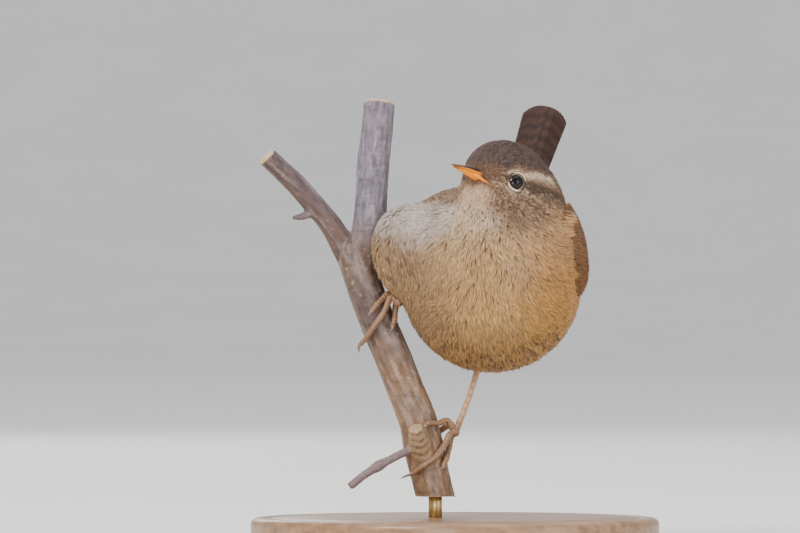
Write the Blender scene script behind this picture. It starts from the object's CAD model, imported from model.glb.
import math
import bpy
import numpy as np
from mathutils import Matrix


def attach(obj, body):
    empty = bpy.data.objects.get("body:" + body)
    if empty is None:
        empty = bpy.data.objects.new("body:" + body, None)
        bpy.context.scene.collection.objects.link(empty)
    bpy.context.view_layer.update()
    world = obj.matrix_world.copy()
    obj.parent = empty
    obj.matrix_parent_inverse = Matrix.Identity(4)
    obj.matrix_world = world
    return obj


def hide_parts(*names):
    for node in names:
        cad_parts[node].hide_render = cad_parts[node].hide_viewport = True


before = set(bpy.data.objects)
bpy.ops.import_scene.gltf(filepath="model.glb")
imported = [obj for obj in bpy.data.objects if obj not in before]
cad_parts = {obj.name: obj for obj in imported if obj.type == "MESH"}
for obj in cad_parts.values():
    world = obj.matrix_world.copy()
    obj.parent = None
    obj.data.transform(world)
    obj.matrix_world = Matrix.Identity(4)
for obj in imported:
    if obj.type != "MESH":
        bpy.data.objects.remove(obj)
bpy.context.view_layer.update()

# A wren at life size on a cut forked branch. Lengths are in millimetres until a mesh is made.
mm = 0.001
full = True
print("frame loaded")


def unit(v):  # v divided by its own length
    return v / np.maximum(np.linalg.norm(v, axis=-1, keepdims=True), 1e-9)


def smooth(low, high, x):  # 0 below low, 1 above high, an s-curve between them
    t = np.clip((np.asarray(x, float) - low) / (high - low), 0, 1)
    return t * t * (3 - 2 * t)


def mixed(a, b, share):  # a where share is 0, b where it is 1
    share = np.asarray(share, float)
    if share.ndim and np.ndim(a) + np.ndim(b) > 0:
        share = share[..., None]
    return np.asarray(a) * (1 - share) + np.asarray(b) * share


def linear(*rgb):  # screen values 0 to 255 to linear light
    c = np.array(rgb, float) / 255
    return np.where(c <= 0.04045, c / 12.92, ((c + 0.055) / 1.055) ** 2.4)


# value noise: how its two lattices are turned, and the numbers that stir a cell's corner into a random value
speck = {"firstTurn": np.array([[0.62, 0.41, -0.67], [-0.68, 0.7, -0.2], [0.39, 0.58, 0.71]]),
         "secondTurn": np.array([[0.8, -0.36, 0.48], [0.6, 0.48, -0.64], [0, 0.8, 0.6]]),
         "secondScale": 1.3, "secondSeed": 71, "contrast": 1.35,
         "primes": (73856093, 19349663, 83492791, 2654435761), "stir": 1274126177}


def lattice(p, seed):
    # random values on a cubic lattice, blended smoothly between the eight corners of p's cell
    cell = np.floor(p).astype(np.int64)
    t = p - cell
    t = t * t * (3 - 2 * t)
    total = 0
    for corner in np.ndindex(2, 2, 2):
        at = cell + np.array(corner)
        a, b, c, d = speck["primes"]
        key = at[..., 0] * a ^ at[..., 1] * b ^ at[..., 2] * c ^ seed * d
        key = (key ^ (key >> 13)) * speck["stir"] & 0x7FFFFFFF
        value = ((key ^ (key >> 16)) & 0xFFFF) / 0xFFFF
        weight = np.prod(np.where(np.array(corner) == 1, t, 1 - t), axis=-1)
        total = total + value * weight
    return total


def grain(points, size, seed):
    # the mean of two lattices turned against each other, spread about a half, for specks about size mm
    # across
    p = np.asarray(points, float) / size
    first = p @ speck["firstTurn"]
    second = p[..., [1, 2, 0]] @ speck["secondTurn"] * speck["secondScale"]
    both = (lattice(first, seed) + lattice(second, seed + speck["secondSeed"])) / 2
    return np.clip(0.5 + (both - 0.5) * speck["contrast"], 0, 1)


def evenPlaces(count):
    # even places in a unit square: place k is k steps of the plastic number's inverse and of its square
    k = np.arange(count)
    return (0.5 + k * 0.7548776662466927) % 1, (0.5 + k * 0.5698402909980532) % 1


def smoothLine(points, count):
    # a centripetal spline through the points, resampled at equal steps of its length
    steps = 40
    p = np.array(points, float)
    p = np.vstack([2 * p[0] - p[1], p, 2 * p[-1] - p[-2]])
    step = np.sqrt(np.linalg.norm(np.diff(p, axis=0), axis=1))[:, None]
    a, b, c, d = p[:-3], p[1:-2], p[2:-1], p[3:]
    before, here, after = step[:-2], step[1:-1], step[2:]
    leave = ((b - a) / before - (c - a) / (before + here) + (c - b) / here) * here
    reach = ((c - b) / here - (d - b) / (here + after) + (d - c) / after) * here
    t = np.linspace(0, 1, steps, endpoint=False)[None, :, None]
    b, c, leave, reach = b[:, None], c[:, None], leave[:, None], reach[:, None]
    line = b + leave * t + (3 * (c - b) - 2 * leave - reach) * t**2 + (2 * (b - c) + leave + reach) * t**3
    line = np.vstack([line.reshape(-1, 3), p[-2]])
    run = np.concatenate([[0], np.cumsum(np.linalg.norm(np.diff(line, axis=0), axis=1))])
    at = np.linspace(0, run[-1], count)
    return np.stack([np.interp(at, run, line[:, k]) for k in range(3)], axis=1)


def tubeFaces(stations, around):
    # quads between neighbouring rings, and a fan of triangles to a pole at each end
    i, j = np.meshgrid(np.arange(stations - 1), np.arange(around), indexing="ij")
    k = (j + 1) % around
    sides = np.stack([i * around + j, i * around + k, (i + 1) * around + k, (i + 1) * around + j], -1)
    ring = np.arange(around)
    turn = (ring + 1) % around
    first, last = stations * around, stations * around + 1
    end = (stations - 1) * around
    fans = [np.stack([np.full(around, first), turn, ring], -1)]
    fans.append(np.stack([np.full(around, last), end + ring, end + turn], -1))
    return sides.reshape(-1, 4), np.concatenate(fans)


def closedTube(rings):
    # rings of points with a pole added at the middle of the first and the last, and their faces
    stations, around = rings.shape[:2]
    points = np.concatenate([rings.reshape(-1, 3), rings[:1].mean(1), rings[-1:].mean(1)])
    return points, tubeFaces(stations, around)


def limbRings(line, radius, outward, around, squash=1.0):
    # circles square to a centre line: centre plus radius times (cosine of the turn sideways, sine across
    # it), where outward gives the way that each circle's first point faces
    along = unit(np.gradient(line, axis=0))
    side = unit(outward - (outward * along).sum(1, keepdims=True) * along)
    cross = np.cross(along, side)
    turn = np.linspace(0, 2 * np.pi, around, endpoint=False)
    radius = np.broadcast_to(np.asarray(radius, float).reshape(len(line), -1), (len(line), around))[..., None]
    return line[:, None] + radius * (
        np.cos(turn)[None, :, None] * side[:, None] + squash * np.sin(turn)[None, :, None] * cross[:, None]
    )


def makePiece(name, points, faceSets, material, nodes=(), tint=None, cell=None, uv=None, flat=False):
    # one mesh object from arrays: points in mm, faces as sets of triangles or quads, tint as a colour for
    # each point, cell as its place along and across a vane, and uv as its place on the map
    mesh = bpy.data.meshes.new(name)
    mesh.vertices.add(len(points))
    mesh.vertices.foreach_set("co", (np.asarray(points) * mm).astype(np.float32).ravel())
    corners = np.concatenate([f.ravel() for f in faceSets]).astype(np.int32)
    sizes = np.concatenate([np.full(len(f), f.shape[1]) for f in faceSets])
    mesh.loops.add(len(corners))
    mesh.loops.foreach_set("vertex_index", corners)
    mesh.polygons.add(len(sizes))
    mesh.polygons.foreach_set("loop_start", np.concatenate([[0], np.cumsum(sizes)[:-1]]).astype(np.int32))
    mesh.polygons.foreach_set("use_smooth", np.full(len(sizes), not flat))
    if tint is not None:
        colour = np.concatenate([np.clip(tint, 0, 1), np.ones((len(points), 1))], axis=1)
        mesh.color_attributes.new("tint", "FLOAT_COLOR", "POINT").data.foreach_set(
            "color", colour.astype(np.float32).ravel()
        )
    if uv is not None:  # a place for each point, or for each corner
        places = uv[corners] if len(uv) == len(points) else uv
        mesh.uv_layers.new(name="OFBake").data.foreach_set("uv", places.astype(np.float32).ravel())
    if cell is not None:
        mesh.uv_layers.new(name="vane").data.foreach_set("uv", cell[corners].astype(np.float32).ravel())
    mesh.update(calc_edges=True)
    mesh.materials.append(material)
    piece = bpy.data.objects.new(name, mesh)
    bpy.context.scene.collection.objects.link(piece)
    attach(piece, "root")
    if nodes:
        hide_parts(*nodes)
    return piece


def joined(parts):
    # several (points, faces) as one: each one's faces are renumbered past the points before them
    offset, points, quads, triangles = 0, [], [], []
    for p, (q, t) in parts:
        points.append(p)
        quads.append(q + offset)
        triangles.append(t + offset)
        offset += len(p)
    return np.concatenate(points), (np.concatenate(quads), np.concatenate(triangles))


def outwardFaces(points, faces):
    # turns the faces round where the closed mesh has a negative volume
    quads, fans = faces
    sides = np.concatenate([fans, quads[:, :3], quads[:, [0, 2, 3]]])
    a, b, c = points[sides[:, 0]], points[sides[:, 1]], points[sides[:, 2]]
    if (np.cross(a, b) * c).sum() < 0:
        return quads[:, ::-1], fans[:, ::-1]
    return faces


def solidTube(rings):  # a closed tube whose faces point outwards
    points, faces = closedTube(rings)
    return points, outwardFaces(points - points.mean(0), faces)


# materials: an attribute or a pattern on object coordinates gives colour, shared groups give fine detail


def nodeGroup(name, inputs, outputs):
    # an empty shader group with its sockets: inputs as (name, kind, first value), outputs as (name, kind)
    group = bpy.data.node_groups.new(name, "ShaderNodeTree")
    for label, kind, value in inputs:
        made = group.interface.new_socket(label, in_out="INPUT", socket_type=kind)
        if value is not None:
            made.default_value = value
    for label, kind in outputs:
        group.interface.new_socket(label, in_out="OUTPUT", socket_type=kind)
    return group, group.nodes.new("NodeGroupInput"), group.nodes.new("NodeGroupOutput")


def node(tree, kind, **values):
    # a new node: each value goes to its setting of that name, or else to its input
    made = tree.nodes.new(kind)
    for key, value in values.items():
        if hasattr(made, key):
            setattr(made, key, value)
        else:
            made.inputs[key.replace("_", " ")].default_value = value
    return made


def buildMottle():
    # fine light and dark variation of a colour, and a height for bump, both from noise of one scale
    group, entry, leave = nodeGroup(
        "fineMottle",
        [("Color", "NodeSocketColor", (0.5, 0.5, 0.5, 1)), ("Scale", "NodeSocketFloat", 900.0),
         ("Amount", "NodeSocketFloat", 0.2)],
        [("Color", "NodeSocketColor"), ("Height", "NodeSocketFloat"), ("Mask", "NodeSocketFloat")],
    )
    link = group.links.new
    place = node(group, "ShaderNodeTexCoord")
    noise = node(group, "ShaderNodeTexNoise", Detail=3.0, Roughness=0.6)
    link(place.outputs["Object"], noise.inputs["Vector"])
    link(entry.outputs["Scale"], noise.inputs["Scale"])
    spread = node(group, "ShaderNodeMapRange", From_Min=0.3, From_Max=0.7)
    link(noise.outputs["Fac"], spread.inputs["Value"])
    less = node(group, "ShaderNodeMath", operation="SUBTRACT")
    less.inputs[1].default_value = 0.5
    link(spread.outputs["Result"], less.inputs[0])
    scaled = node(group, "ShaderNodeMath", operation="MULTIPLY_ADD")
    link(less.outputs[0], scaled.inputs[0])
    link(entry.outputs["Amount"], scaled.inputs[1])
    scaled.inputs[2].default_value = 1.0
    tone = node(group, "ShaderNodeVectorMath", operation="SCALE")
    link(entry.outputs["Color"], tone.inputs[0])
    link(scaled.outputs[0], tone.inputs["Scale"])
    link(tone.outputs[0], leave.inputs["Color"])
    link(noise.outputs["Fac"], leave.inputs["Height"])
    link(spread.outputs["Result"], leave.inputs["Mask"])
    return group


fineMottle = buildMottle()


def newMaterial(name):  # an empty material, its tree and its shader
    material = bpy.data.materials.new(name)
    material.use_nodes = True
    return material, material.node_tree, material.node_tree.nodes["Principled BSDF"]


def addMottle(tree, shader, scale, amount, low, high):
    # the shared mottle as base colour, and its mask as a roughness from low to high
    link = tree.links.new
    mottle = node(tree, "ShaderNodeGroup", node_tree=fineMottle, Scale=scale, Amount=amount)
    link(mottle.outputs["Color"], shader.inputs["Base Color"])
    rough = node(tree, "ShaderNodeMapRange", To_Min=low, To_Max=high)
    link(mottle.outputs["Mask"], rough.inputs["Value"])
    link(rough.outputs["Result"], shader.inputs["Roughness"])
    return mottle


def addBump(tree, shader, height, strength, step):  # a height as the shader's normal, by strength and step
    raised = node(tree, "ShaderNodeBump", Strength=strength, Distance=step)
    tree.links.new(height, raised.inputs["Height"])
    tree.links.new(raised.outputs["Normal"], shader.inputs["Normal"])
    return raised


def tintedMaterial(name, scale, amount, roughness, roughVary=0.1, bump=0.2, bumpStep=0.0001, **fixed):
    # colour from the piece's own tint attribute, with the shared mottle over it
    material, tree, shader = newMaterial(name)
    tint = node(tree, "ShaderNodeAttribute", attribute_name="tint")
    mottle = addMottle(tree, shader, scale, amount, roughness - roughVary, roughness + roughVary)
    tree.links.new(tint.outputs["Color"], mottle.inputs["Color"])
    addBump(tree, shader, mottle.outputs["Height"], bump, bumpStep)
    for key, value in fixed.items():
        shader.inputs[key.replace("_", " ")].default_value = value
    return material


def turned(yaw, pitch):
    # rows are forward, left and up, after a turn round the vertical and a tilt above the level, in degrees
    yaw, pitch = math.radians(yaw), math.radians(pitch)
    forward = np.array([-math.sin(yaw) * math.cos(pitch), -math.cos(yaw) * math.cos(pitch), math.sin(pitch)])
    left = np.array([math.cos(yaw), -math.sin(yaw), 0])
    return np.array([forward, left, np.cross(forward, left)])


# how the head and the body are turned, and where their middles are
pose = {"bodyYaw": 12, "headYaw": 40, "headPitch": 18, "flankLean": 12, "softJoin": 4.0,
        "bodyCentre": np.array([8.7, 1, 60.6]), "headCentre": np.array([11.5, -6, 83.4]),
        "middle": np.array([8.0, -2.0, 72.0]), "hollow": 4.0, "eyeSunk": 1.75}
bodyAxes = turned(pose["bodyYaw"], 0)
headAxes = turned(pose["headYaw"], pose["headPitch"])
lean = math.radians(pose["flankLean"])
leanAxes = np.array([[math.cos(lean), 0, math.sin(lean)], [0, 1, 0], [-math.sin(lean), 0, math.cos(lean)]])


def onHead(f, l, u):  # distances forward, left and up from the head's centre, as a place
    return pose["headCentre"] + np.stack(np.broadcast_arrays(f, l, u), -1).astype(float) @ headAxes


def headPlace(p):  # a place as distances forward, left and up from the head's centre
    return np.moveaxis((p - pose["headCentre"]) @ headAxes.T, -1, 0)


lobes = [  # centre, radii and axes of each rounded mass of plumage
    (pose["bodyCentre"], (21, 21, 20.6), bodyAxes),
    ((9, -4.5, 67.5), (16.5, 18.6, 14.5), bodyAxes),
    ((8.6, 3.5, 73), (16, 18.6, 11.5), bodyAxes),
    ((-9.9, -3.5, 68.3), (9.6, 9, 11.8), leanAxes),
    ((-1.5, 1.5, 74), (8, 7.5, 7.5), bodyAxes),
    ((12, 14.5, 68), (12, 12.5, 12), bodyAxes),
    ((13.2, -2.5, 77.5), (12, 12.4, 10), bodyAxes),
    (onHead(-1.5, 0, 0.2), (12, 8.7, 11.2), headAxes),
    (onHead(4.2, 0, 2.6), (6, 6.8, 6), headAxes),
    (onHead(-4, 3.2, -2), (8.5, 7.6, 8.5), headAxes),
    (onHead(-4, -3.2, -2), (8.5, 7.6, 8.5), headAxes),
    (onHead(1.5, 0, -6), (8, 7, 6), headAxes),
]
eyeHollow = {side: onHead(5.2, 7.9 * side, -0.25) for side in (1, -1)}
eyeWay = {side: unit(np.array([0.5, side, 0.05]) @ headAxes) for side in (1, -1)}
dishes = [eyeHollow[s] + eyeWay[s] * pose["hollow"] for s in (1, -1)]


def eyeDistance(p):  # how far p is from the nearer eye
    return np.minimum(*[np.linalg.norm(p - eyeHollow[s], axis=-1) for s in (1, -1)])


def outside(p):
    # about how far p is outside the plumage: each lobe's distance, softly joined, with a dish at each eye
    depth = None
    for centre, radii, axes in lobes:
        q = (p - np.asarray(centre)) @ axes.T / np.asarray(radii, float)
        near = np.sqrt((q * q).sum(-1))
        slope = np.sqrt(((q / np.asarray(radii, float)) ** 2).sum(-1))
        lobe = near * (near - 1) / np.maximum(slope, 1e-6)
        if depth is None:
            depth = lobe
            continue
        share = np.clip(0.5 + 0.5 * (depth - lobe) / pose["softJoin"], 0, 1)
        depth = depth + share * (lobe - depth) - pose["softJoin"] * share * (1 - share)
    for dish in dishes:
        depth = np.maximum(depth, pose["hollow"] - np.linalg.norm(p - dish, axis=-1))
    return depth


def outwardOf(p):  # the direction in which outside() grows fastest
    step = 0.2
    slopes = [outside(p + step * e) - outside(p - step * e) for e in np.eye(3)]
    return unit(np.stack(slopes, -1))


# the coat's outer surface as a distance from the middle for each direction, found by halving
table = {"around": 360, "up": 181, "farthest": 46.0, "halvings": 17}


def wayOf(u, v):  # share round and share up to a direction
    a, e = u * 2 * np.pi, (v - 0.5) * np.pi
    return np.stack([np.cos(e) * np.cos(a), np.cos(e) * np.sin(a), np.sin(e)], -1)


tableU, tableV = np.meshgrid(np.arange(table["around"]) / table["around"], np.linspace(0, 1, table["up"]),
                             indexing="ij")
tableWay = wayOf(tableU, tableV)
inner, outer = np.zeros(tableU.shape), np.full(tableU.shape, table["farthest"])
for halving in range(table["halvings"]):
    middle = (inner + outer) / 2
    within = outside(pose["middle"] + tableWay * middle[..., None]) < 0
    inner, outer = np.where(within, middle, inner), np.where(within, outer, middle)
tableReach = inner
tableReach[:, 0], tableReach[:, -1] = inner[:, 0].mean(), inner[:, -1].mean()


def mapPlace(p):  # a point's share round and share up, seen from the middle
    way = unit(p - pose["middle"])
    share = np.arctan2(way[..., 1], way[..., 0]) / (2 * np.pi) % 1
    return share, np.arcsin(np.clip(way[..., 2], -1, 1)) / np.pi + 0.5


def reachOf(u, v):
    # the table's distance for a direction, blended between the four nearest directions in it
    x, y = u * table["around"], np.clip(v, 0, 1) * (table["up"] - 1)
    i, j = np.floor(x).astype(int), np.minimum(np.floor(y).astype(int), table["up"] - 2)
    s, t = x - i, y - j
    i, k = i % table["around"], (i + 1) % table["around"]
    low = tableReach[i, j] * (1 - s) + tableReach[k, j] * s
    high = tableReach[i, j + 1] * (1 - s) + tableReach[k, j + 1] * s
    return low * (1 - t) + high * t


def onCoat(p, lift):  # p moved to a height over the coat's outer surface, along the line from the middle
    u, v = mapPlace(p)
    return pose["middle"] + unit(p - pose["middle"]) * (reachOf(u, v) + lift)[..., None]


print("surface found")

# camera and studio: lights as name, place, aim, size, power and colour; lengths here in metres
studio = {
    "camera": (-0.0129, -2.0, 0.065), "lens": 383.0, "sensor": 36, "near": 0.01, "far": 20,
    "floorTone": linear(238, 236, 232), "air": (0.82, 0.85, 0.9, 1), "airStrength": 0.75,
    "lights": [
        ("keyLight", (-0.55, -0.75, 0.85), (0, 0, 0.06), 0.45, 13, (1, 0.97, 0.93)),
        ("fillLight", (0.9, -0.7, 0.35), (0, 0, 0.06), 0.7, 4, (0.95, 0.97, 1)),
        ("topLight", (0.15, 0.35, 1.0), (0, 0, 0.06), 0.6, 3, (1, 1, 1)),
        ("frontLight", (-0.2, -1.3, 0.12), (0, 0, 0.06), 0.4, 4, (1, 0.99, 0.97)),
        ("roomLight", (0.4, 0.2, 3.6), (0, 0, 0), 5.0, 70, (1, 1, 1)),
        ("backLight", (-0.3, 1.2, 0.5), (0, 0, 0.06), 0.5, 3, (1, 1, 1)),
    ],
    "floorRings": (0.05, 0.3, 0.8, 2.0, 3.2), "rimFrom": 3.4, "rimWide": 1.6, "rimHigh": 1.1, "rimSteps": 14,
    "floorAround": 96,
}


def buildCamera():  # one camera, at the place and angles of the studio's numbers
    data = bpy.data.cameras.new("camera")
    data.lens, data.sensor_width = studio["lens"], studio["sensor"]
    data.clip_start, data.clip_end = studio["near"], studio["far"]
    camera = bpy.data.objects.new("camera", data)
    camera.location, camera.rotation_euler = studio["camera"], (math.radians(90), 0, 0)
    bpy.context.scene.collection.objects.link(camera)
    bpy.context.scene.camera = camera


def softLight(name, place, aim, size, power, colour):
    # a round lamp turned to its aim: tilted by the angle from straight down, then turned round the vertical
    data = bpy.data.lights.new(name, "AREA")
    data.shape, data.size, data.energy, data.color = "DISK", size, power, colour
    lamp = bpy.data.objects.new(name, data)
    way = np.array(aim) - np.array(place)
    level = math.hypot(way[0], way[1])
    lamp.location, lamp.visible_camera = place, False
    lamp.rotation_euler = (math.atan2(level, -way[2]), 0, math.atan2(way[1], way[0]) - math.pi / 2)
    bpy.context.scene.collection.objects.link(lamp)


def buildAir():  # an even light from all round
    world = bpy.data.worlds.new("studioAir")
    world.use_nodes = True
    world.node_tree.nodes["Background"].inputs["Color"].default_value = studio["air"]
    world.node_tree.nodes["Background"].inputs["Strength"].default_value = studio["airStrength"]
    bpy.context.scene.world = world


def buildFloor():
    # floor and wall as one shallow bowl: a profile spun round the vertical, flat and then a rim that rises
    # by a quarter of an ellipse
    rise = np.linspace(0, np.pi / 2, studio["rimSteps"])
    flat = np.stack([np.array(studio["floorRings"]), np.zeros(len(studio["floorRings"]))], -1)
    rim = np.stack([studio["rimFrom"] + studio["rimWide"] * np.sin(rise),
                    studio["rimHigh"] - studio["rimHigh"] * np.cos(rise)], -1)
    line = np.concatenate([flat, rim])
    around = studio["floorAround"]
    turn = np.linspace(0, 2 * np.pi, around, endpoint=False)
    points = np.stack([np.outer(line[:, 0], np.cos(turn)), np.outer(line[:, 0], np.sin(turn)),
                       np.repeat(line[:, 1:], around, axis=1)], -1).reshape(-1, 3)
    row, column = np.meshgrid(np.arange(len(line) - 1), np.arange(around), indexing="ij")
    first, second = (row * around + column).ravel(), (row * around + (column + 1) % around).ravel()
    faces = np.stack([first, first + around, second + around, second], -1).tolist() + [list(range(around))]
    mesh = bpy.data.meshes.new("studioFloor")
    mesh.from_pydata(points.tolist(), [], faces)
    mesh.polygons.foreach_set("use_smooth", np.full(len(faces), True))
    finish, tree, shader = newMaterial("paleFloor")
    mottle = node(tree, "ShaderNodeGroup", node_tree=fineMottle, Scale=14.0, Amount=0.03)
    mottle.inputs["Color"].default_value = (*studio["floorTone"], 1)
    tree.links.new(mottle.outputs["Color"], shader.inputs["Base Color"])
    shader.inputs["Roughness"].default_value = 0.75
    mesh.materials.append(finish)
    studioFloor = bpy.data.objects.new("studioFloor", mesh)
    bpy.context.scene.collection.objects.link(studioFloor)


buildCamera()
for light in studio["lights"]:
    softLight(*light)
buildAir()
buildFloor()
print("studio set")

# markings: each zone is a place, a reach in mm and a colour, and a point takes the blend of those near it
shades = {
    "belly": linear(190, 151, 95), "breast": linear(190, 154, 112), "throat": linear(212, 186, 156),
    "flankLeft": linear(150, 117, 82), "flankRight": linear(182, 133, 66), "vent": linear(172, 133, 78),
    "back": linear(120, 84, 54), "rump": linear(128, 84, 50), "crown": linear(82, 64, 58),
    "nape": linear(106, 80, 60), "cheek": linear(126, 94, 70), "brow": linear(222, 200, 168),
    "stripe": linear(62, 43, 33), "lore": linear(98, 70, 50), "chin": linear(198, 168, 136),
    "down": linear(150, 138, 128), "paleGrey": linear(196, 186, 180), "fleck": linear(56, 38, 28),
    "side": linear(176, 132, 86), "neckSide": linear(190, 143, 96), "throatSide": linear(214, 204, 196),
}
bodyZones = [  # place, reach, colour, weight
    ((8, -20, 71), 9, "breast", 1.0), ((0, -18, 70), 8, "breast", 1.0), ((20, -16, 70), 8, "neckSide", 1.0),
    ((8, -20, 58), 9, "belly", 1.2), ((8, -16, 46), 7, "vent", 1.0), ((24, -12, 58), 9, "flankRight", 1.2),
    ((-6, -14, 56), 7, "flankLeft", 0.9), ((-15, -9, 67), 8, "flankLeft", 1.4),
    ((-9, -12, 76), 4.2, "paleGrey", 1.6), ((-13, -7, 75), 3.6, "paleGrey", 0.8),
    ((6, -16, 80), 6, "throat", 1.4), ((14, -16, 78), 6, "throat", 0.8),
    ((-2, -13, 79), 5, "throatSide", 1.3),
    ((-2, -10, 83), 4, "paleGrey", 1.0), ((14, -20, 65), 3.5, "down", 0.5), ((8, 0, 40), 9, "vent", 1.2),
    ((8, 18, 48), 11, "vent", 1.2), ((30, 2, 60), 9, "side", 0.8), ((-12, 6, 60), 9, "flankLeft", 0.9),
    ((26, 4, 76), 9, "back", 1.0), ((-6, 8, 80), 8, "back", 0.9), ((10, 16, 82), 11, "back", 1.4),
    ((12, 24, 72), 9, "rump", 1.4), ((12, 26, 62), 8, "vent", 1.0), ((24, 14, 66), 9, "back", 0.8),
    ((0, 16, 66), 9, "back", 0.8),
]
zonePlace = np.array([z[0] for z in bodyZones], float)
zoneReach = np.array([z[1] for z in bodyZones], float)
zoneShade = np.array([shades[z[2]] for z in bodyZones])
zoneWeight = np.array([z[3] for z in bodyZones])


def headness(p):  # 1 on the head, 0 on the body, over a band across the neck
    f, l, u = headPlace(p)
    return smooth(-13.5, -7, u + 0.35 * f) * smooth(-16, -10, f + 0.3 * u)


def band(distance, half, edge):  # 1 within half of a line, fading out over edge
    return 1 - smooth(half - edge / 2, half + edge / 2, np.abs(distance))


def bodyMarking(p):
    # the zones' colours, each weighed by exp(-(distance / reach) squared)
    near = np.exp(-(((p[:, None] - zonePlace) / zoneReach[:, None]) ** 2).sum(-1)) * zoneWeight + 1e-5
    return (near[..., None] * zoneShade).sum(1) / near.sum(1, keepdims=True)


def headMarking(p):
    # colours laid one over another: each has a strength that rises and falls with the distances forward (f),
    # aside (a) and up (u) from the head's centre, and an edge that wanders with a coarse grain
    f, l, u = headPlace(p)
    a = np.abs(l)
    wander = (grain(p, 1.6, 3) - 0.5) * 1.2
    tone = np.broadcast_to(shades["cheek"], p.shape).copy()
    tone = mixed(tone, shades["neckSide"], smooth(1, -7, f) * smooth(-1, -4, u))
    # crown and nape
    crownLow = 2.9 + 0.15 * (f < 0) * -f + wander * 0.5 - 2.3 * smooth(5.0, 8.0, f)
    tone = mixed(tone, shades["crown"], smooth(crownLow + 0.2, crownLow + 2.2, u))
    tone = mixed(tone, shades["nape"], smooth(-3, -11, f) * smooth(-4, 0, u))
    # chin, throat and the pale side of the throat
    tone = mixed(tone, shades["chin"], smooth(5.2, 2.6, a) * smooth(1, 4, f) * smooth(-2, -4, u))
    tone = mixed(tone, shades["throat"], smooth(-6.5, -10, u) * smooth(-3, 2, f) * smooth(9, 5, a) * 0.9)
    tone = mixed(tone, shades["throatSide"], smooth(-2, -5, l) * smooth(-5, -8, u) * smooth(-2, 2, f) * 0.6)
    # dark lore and the dark stripe behind the eye
    tone = mixed(tone, shades["lore"], smooth(5.6, 7.6, f) * smooth(-2.6, -0.6, u) * smooth(2.4, 0.8, u))
    stripe = band(u + 0.6 - 0.04 * (5 - f) + wander * 0.4, 1.25, 1.2)
    stripe = stripe * smooth(4.2, 2.4, f) * smooth(-9, -6, f)
    tone = mixed(tone, shades["stripe"], stripe * 0.85 * smooth(5, 7, a))
    # pale brow, which widens behind the eye, and a broken pale ring round the eye
    browLine = 1.55 + 0.1 * np.clip(5 - f, 0, 9) - 0.25 * np.clip(f - 6, 0, 3)
    wide = 0.3 + 0.55 * smooth(6.0, 1.0, f)
    brow = band(u - browLine - 0.8 * smooth(5, 0, f) + wander * 0.35, wide, 0.8) * smooth(9.5, 5.5, f)
    brow = brow * smooth(-7, -3, f) * (1 - 0.5 * smooth(0.55, 0.75, grain(p, 0.8, 12)))
    tone = mixed(tone, shades["brow"], brow * 0.85 * smooth(3.6, 5.6, a))
    ring = band(eyeDistance(p) - 2.8, 0.25, 0.4) * smooth(0.4, 0.65, grain(p, 1.1, 9))
    tone = mixed(tone, shades["brow"], ring * 0.6)
    # dark and pale specks on the cheek, and paler ones on the crown
    dark = smooth(0.5, 0.66, grain(p, 0.5, 5)) * smooth(-9.5, -6, u)
    dark = dark * smooth(1.0, -0.8, u) * smooth(3.4, 5, a)
    tone = mixed(tone, shades["stripe"], dark * 0.72)
    pale = smooth(0.56, 0.72, grain(p, 0.52, 6)) * smooth(-11, -7, u) * smooth(0, -1, u) * smooth(3.4, 5, a)
    tone = mixed(tone, shades["brow"], pale * 0.5)
    crownFleck = smooth(0.55, 0.75, grain(p, 0.9, 13)) * smooth(crownLow, crownLow + 1.5, u)
    return mixed(tone, shades["nape"] * 1.1, crownFleck * 0.13)


def marking(p):
    # linear colour of the plumage at p: body and head blended across the neck, times two sizes of faint
    # patch
    tone = mixed(bodyMarking(p), headMarking(p), headness(p))
    patches = (grain(p, 5.0, 7) - 0.5) * 0.14 + (grain(p, 1.7, 8) - 0.5) * 0.12
    return tone * (1 + patches)[:, None]


# coat: a skin with feathers on it. Depths, lengths and widths are in mm, angles in degrees, and pairs are
# ranges.
coat = {
    "bodyDepth": 1.3, "faceDepth": 0.35, "around": 288, "up": 145, "seed": 11,
    "feathers": 9000 if full else 4000, "barbs": 24, "bodyLength": 4.6, "faceLength": 1.1, "cheekLength": 2.6,
    "crowding": 1.75, "lengthVary": (0.85, 1.15), "sway": 0.11, "shaft": 0.62, "reachVary": (0.85, 1.12),
    "fan": 27, "fanClose": 20, "fanVary": (-5, 5), "bend": 0.12, "headWidth": 0.15, "bodyWidth": 0.23,
    "widthVary": (0.75, 1.2), "strays": 0.09, "strayLift": 0.5, "featherVary": 0.09, "barbVary": 0.2,
    "patch": 0.003,
}


def coatDepth(p):
    # from the face's depth near the bill and the eyes to the body's away from them
    f, l, u = headPlace(p)
    bill = np.linalg.norm(np.stack([f - 11, l, u], -1), axis=-1)
    face = smooth(2.5, 16, np.minimum(bill, eyeDistance(p) * 1.6))
    return coat["faceDepth"] + (coat["bodyDepth"] - coat["faceDepth"]) * face


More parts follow.
